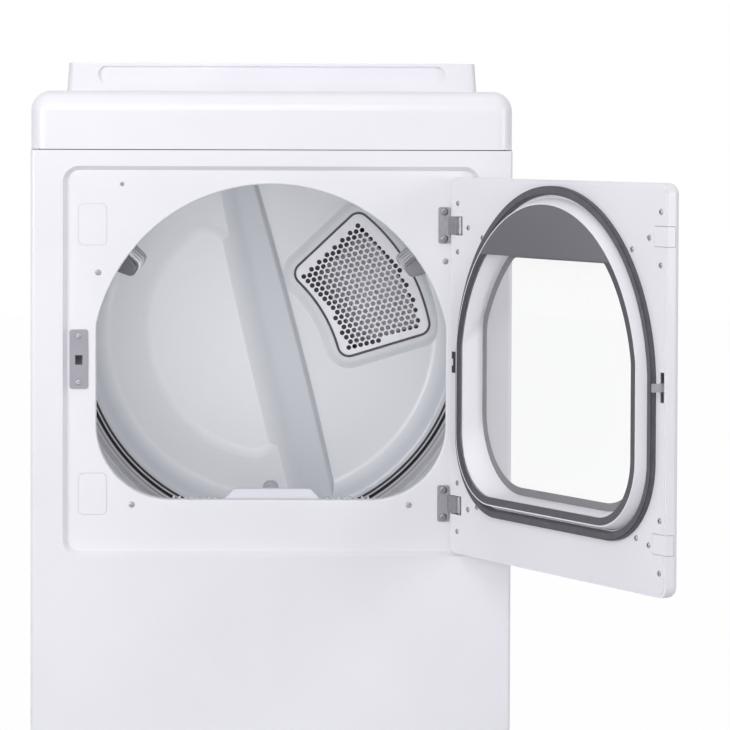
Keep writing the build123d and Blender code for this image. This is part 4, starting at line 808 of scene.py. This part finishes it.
class DRYER_OT_screws(bpy.types.Operator):
    """Puts the pan-head screws on the cabinet and on the inside of the door"""

    bl_idname = "dryer.screws"
    bl_label = "Add screws"

    def execute(self, context):
        radius = context.scene.dryer_sizes.screw
        bm = bmesh.new()
        for x, z, lift in BODY_SCREWS:
            add_screw(bm, Vector((x / 1000, FLOOR_Y - lift / 1000, z / 1000)), radius, -1)
        finish_piece(bm, "cabinet_screws", screw_steel, "cabinet")
        bm = bmesh.new()
        for up in HINGE_SCREWS:
            place = Vector((HINGE_SCREW_X / 1000, FLOOR_Y - HINGE_PLATE / 1000, DOOR_Z + up / 1000))
            add_screw(bm, place, radius * HINGE_HEAD, -1)
        finish_piece(bm, "hinge_screws", bright_steel, "cabinet")
        bm = bmesh.new()
        for x, z in BACK_SCREWS:
            add_screw(bm, Vector((x / 1000, BACK_Y, z / 1000)), radius, 1)
        lo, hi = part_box("exhaust_stub")
        margin = STUB_MARGIN / 1000
        for x in (lo.x + margin, hi.x - margin):
            for z in (lo.z + margin, hi.z - margin):
                add_screw(bm, Vector((x, BACK_Y, z)), radius * STUB_HEAD, 1)
        finish_piece(bm, "back_screws", bright_steel, "cabinet")
        bm = bmesh.new()
        for x, z in DOOR_SCREWS:
            add_screw(bm, Vector((x / 1000, DOOR_PANEL_Y, DOOR_Z + z / 1000)), radius * DOOR_HEAD, 1)
        finish_piece(bm, "door_screws", screw_steel, "door", on_door=True)
        return {"FINISHED"}


class DRYER_OT_stage(bpy.types.Operator):
    """Sets the pale floor, the soft lamps and the camera"""

    bl_idname = "dryer.stage"
    bl_label = "Set the stage"

    def execute(self, context):
        scene = context.scene
        scene.view_settings.view_transform = "Standard"
        self.add_world(scene)
        self.add_floor(scene)
        lamps = {name: self.add_lamp(scene, name, *settings) for name, settings in LAMPS.items()}
        lamps["drum_lamp"].visible_camera = False
        lamps["drum_lamp"].visible_glossy = False
        self.add_camera(scene)
        return {"FINISHED"}

    def add_sight(self, tree):
        """1 for the rays that see the white background: from the camera, through glass, off gloss."""
        rays = add_node(tree, "LightPath", {})
        seen = rays.outputs["Is Camera Ray"]
        for name in ("Is Transmission Ray", "Is Glossy Ray"):
            either = add_node(tree, "Math", {"operation": "MAXIMUM"}, {0: seen, 1: rays.outputs[name]})
            seen = either.outputs[0]
        return seen

    def add_world(self, scene):
        """Soft light from all round, with a white background for the rays that see it."""
        world = bpy.data.worlds.new("soft_studio")
        scene.world = world
        world.use_nodes = True
        tree = world.node_tree
        tree.nodes.clear()
        seen = self.add_sight(tree)
        light = add_node(tree, "Background", {"Color": linear("#eeeef6"), "Strength": WORLD_LIGHT})
        white = add_node(tree, "Background", {"Color": (1, 1, 1, 1), "Strength": 1.0})
        both = add_node(tree, "MixShader", {}, {0: seen, 1: light.outputs[0], 2: white.outputs[0]})
        add_node(tree, "OutputWorld", {}, {"Surface": both.outputs[0]})

    def add_floor(self, scene):
        """A wide sheet of paper that takes shadows and glows nearly white for the rays that see it."""
        bm = bmesh.new()
        bmesh.ops.create_grid(bm, x_segments=1, y_segments=1, size=FLOOR_HALF)
        mesh = bpy.data.meshes.new("studio_floor")
        bm.to_mesh(mesh)
        bm.free()
        floor = bpy.data.objects.new("studio_floor", mesh)
        scene.collection.objects.link(floor)
        paper, tree, shader, _ = start_material("matt_studio_paper", "#c9c9cd", 0.9)
        seen = add_node(tree, "Math", {"operation": "MULTIPLY", 1: FLOOR_GLOW}, {0: self.add_sight(tree)})
        glow = add_node(tree, "Emission", {"Color": (1, 1, 1, 1), "Strength": 1.0})
        mixed = {0: seen.outputs[0], 1: shader.outputs[0], 2: glow.outputs[0]}
        both = add_node(tree, "MixShader", {}, mixed)
        tree.links.new(both.outputs[0], tree.nodes["Material Output"].inputs["Surface"])
        mesh.materials.append(paper)

    def add_lamp(self, scene, name, place, target, size, power):
        """A square soft box that faces a point."""
        data = bpy.data.lights.new(name, "AREA")
        data.size = size
        data.energy = power
        lamp = bpy.data.objects.new(name, data)
        lamp.location = place
        lamp.rotation_euler = (Vector(target) - Vector(place)).to_track_quat("-Z", "Y").to_euler()
        scene.collection.objects.link(lamp)
        return lamp

    def add_camera(self, scene):
        """A long lens in front of the dryer, turned down a little."""
        data = bpy.data.cameras.new("camera")
        data.lens = CAMERA_LENS
        data.sensor_width = CAMERA_SENSOR
        data.shift_x, data.shift_y = CAMERA_SHIFT
        data.clip_end = CAMERA_REACH
        camera = bpy.data.objects.new("camera", data)
        camera.location = CAMERA_PLACE
        camera.rotation_euler = [math.radians(angle) for angle in CAMERA_TURN]
        scene.collection.objects.link(camera)
        scene.camera = camera


class DRYER_PT_panel(bpy.types.Panel):
    bl_label = "Clothes dryer"
    bl_idname = "DRYER_PT_panel"
    bl_space_type = "VIEW_3D"
    bl_region_type = "UI"
    bl_category = "Dryer"

    def draw(self, context):
        for step in STEPS:
            self.layout.operator(step.bl_idname)


STEPS = (
    DRYER_OT_finishes, DRYER_OT_grille, DRYER_OT_shade_lining, DRYER_OT_seam, DRYER_OT_markings,
    DRYER_OT_screws, DRYER_OT_stage,
)
CLASSES = (DryerSizes, *STEPS, DRYER_PT_panel)


def register():
    for cls in CLASSES:
        bpy.utils.register_class(cls)
    bpy.types.Scene.dryer_sizes = bpy.props.PointerProperty(type=DryerSizes)


def unregister():
    del bpy.types.Scene.dryer_sizes
    for cls in reversed(CLASSES):
        bpy.utils.unregister_class(cls)


def main():
    register()
    for step in STEPS:
        group, action = step.bl_idname.split(".")
        getattr(getattr(bpy.ops, group), action)()


if __name__ == "__main__":
    main()
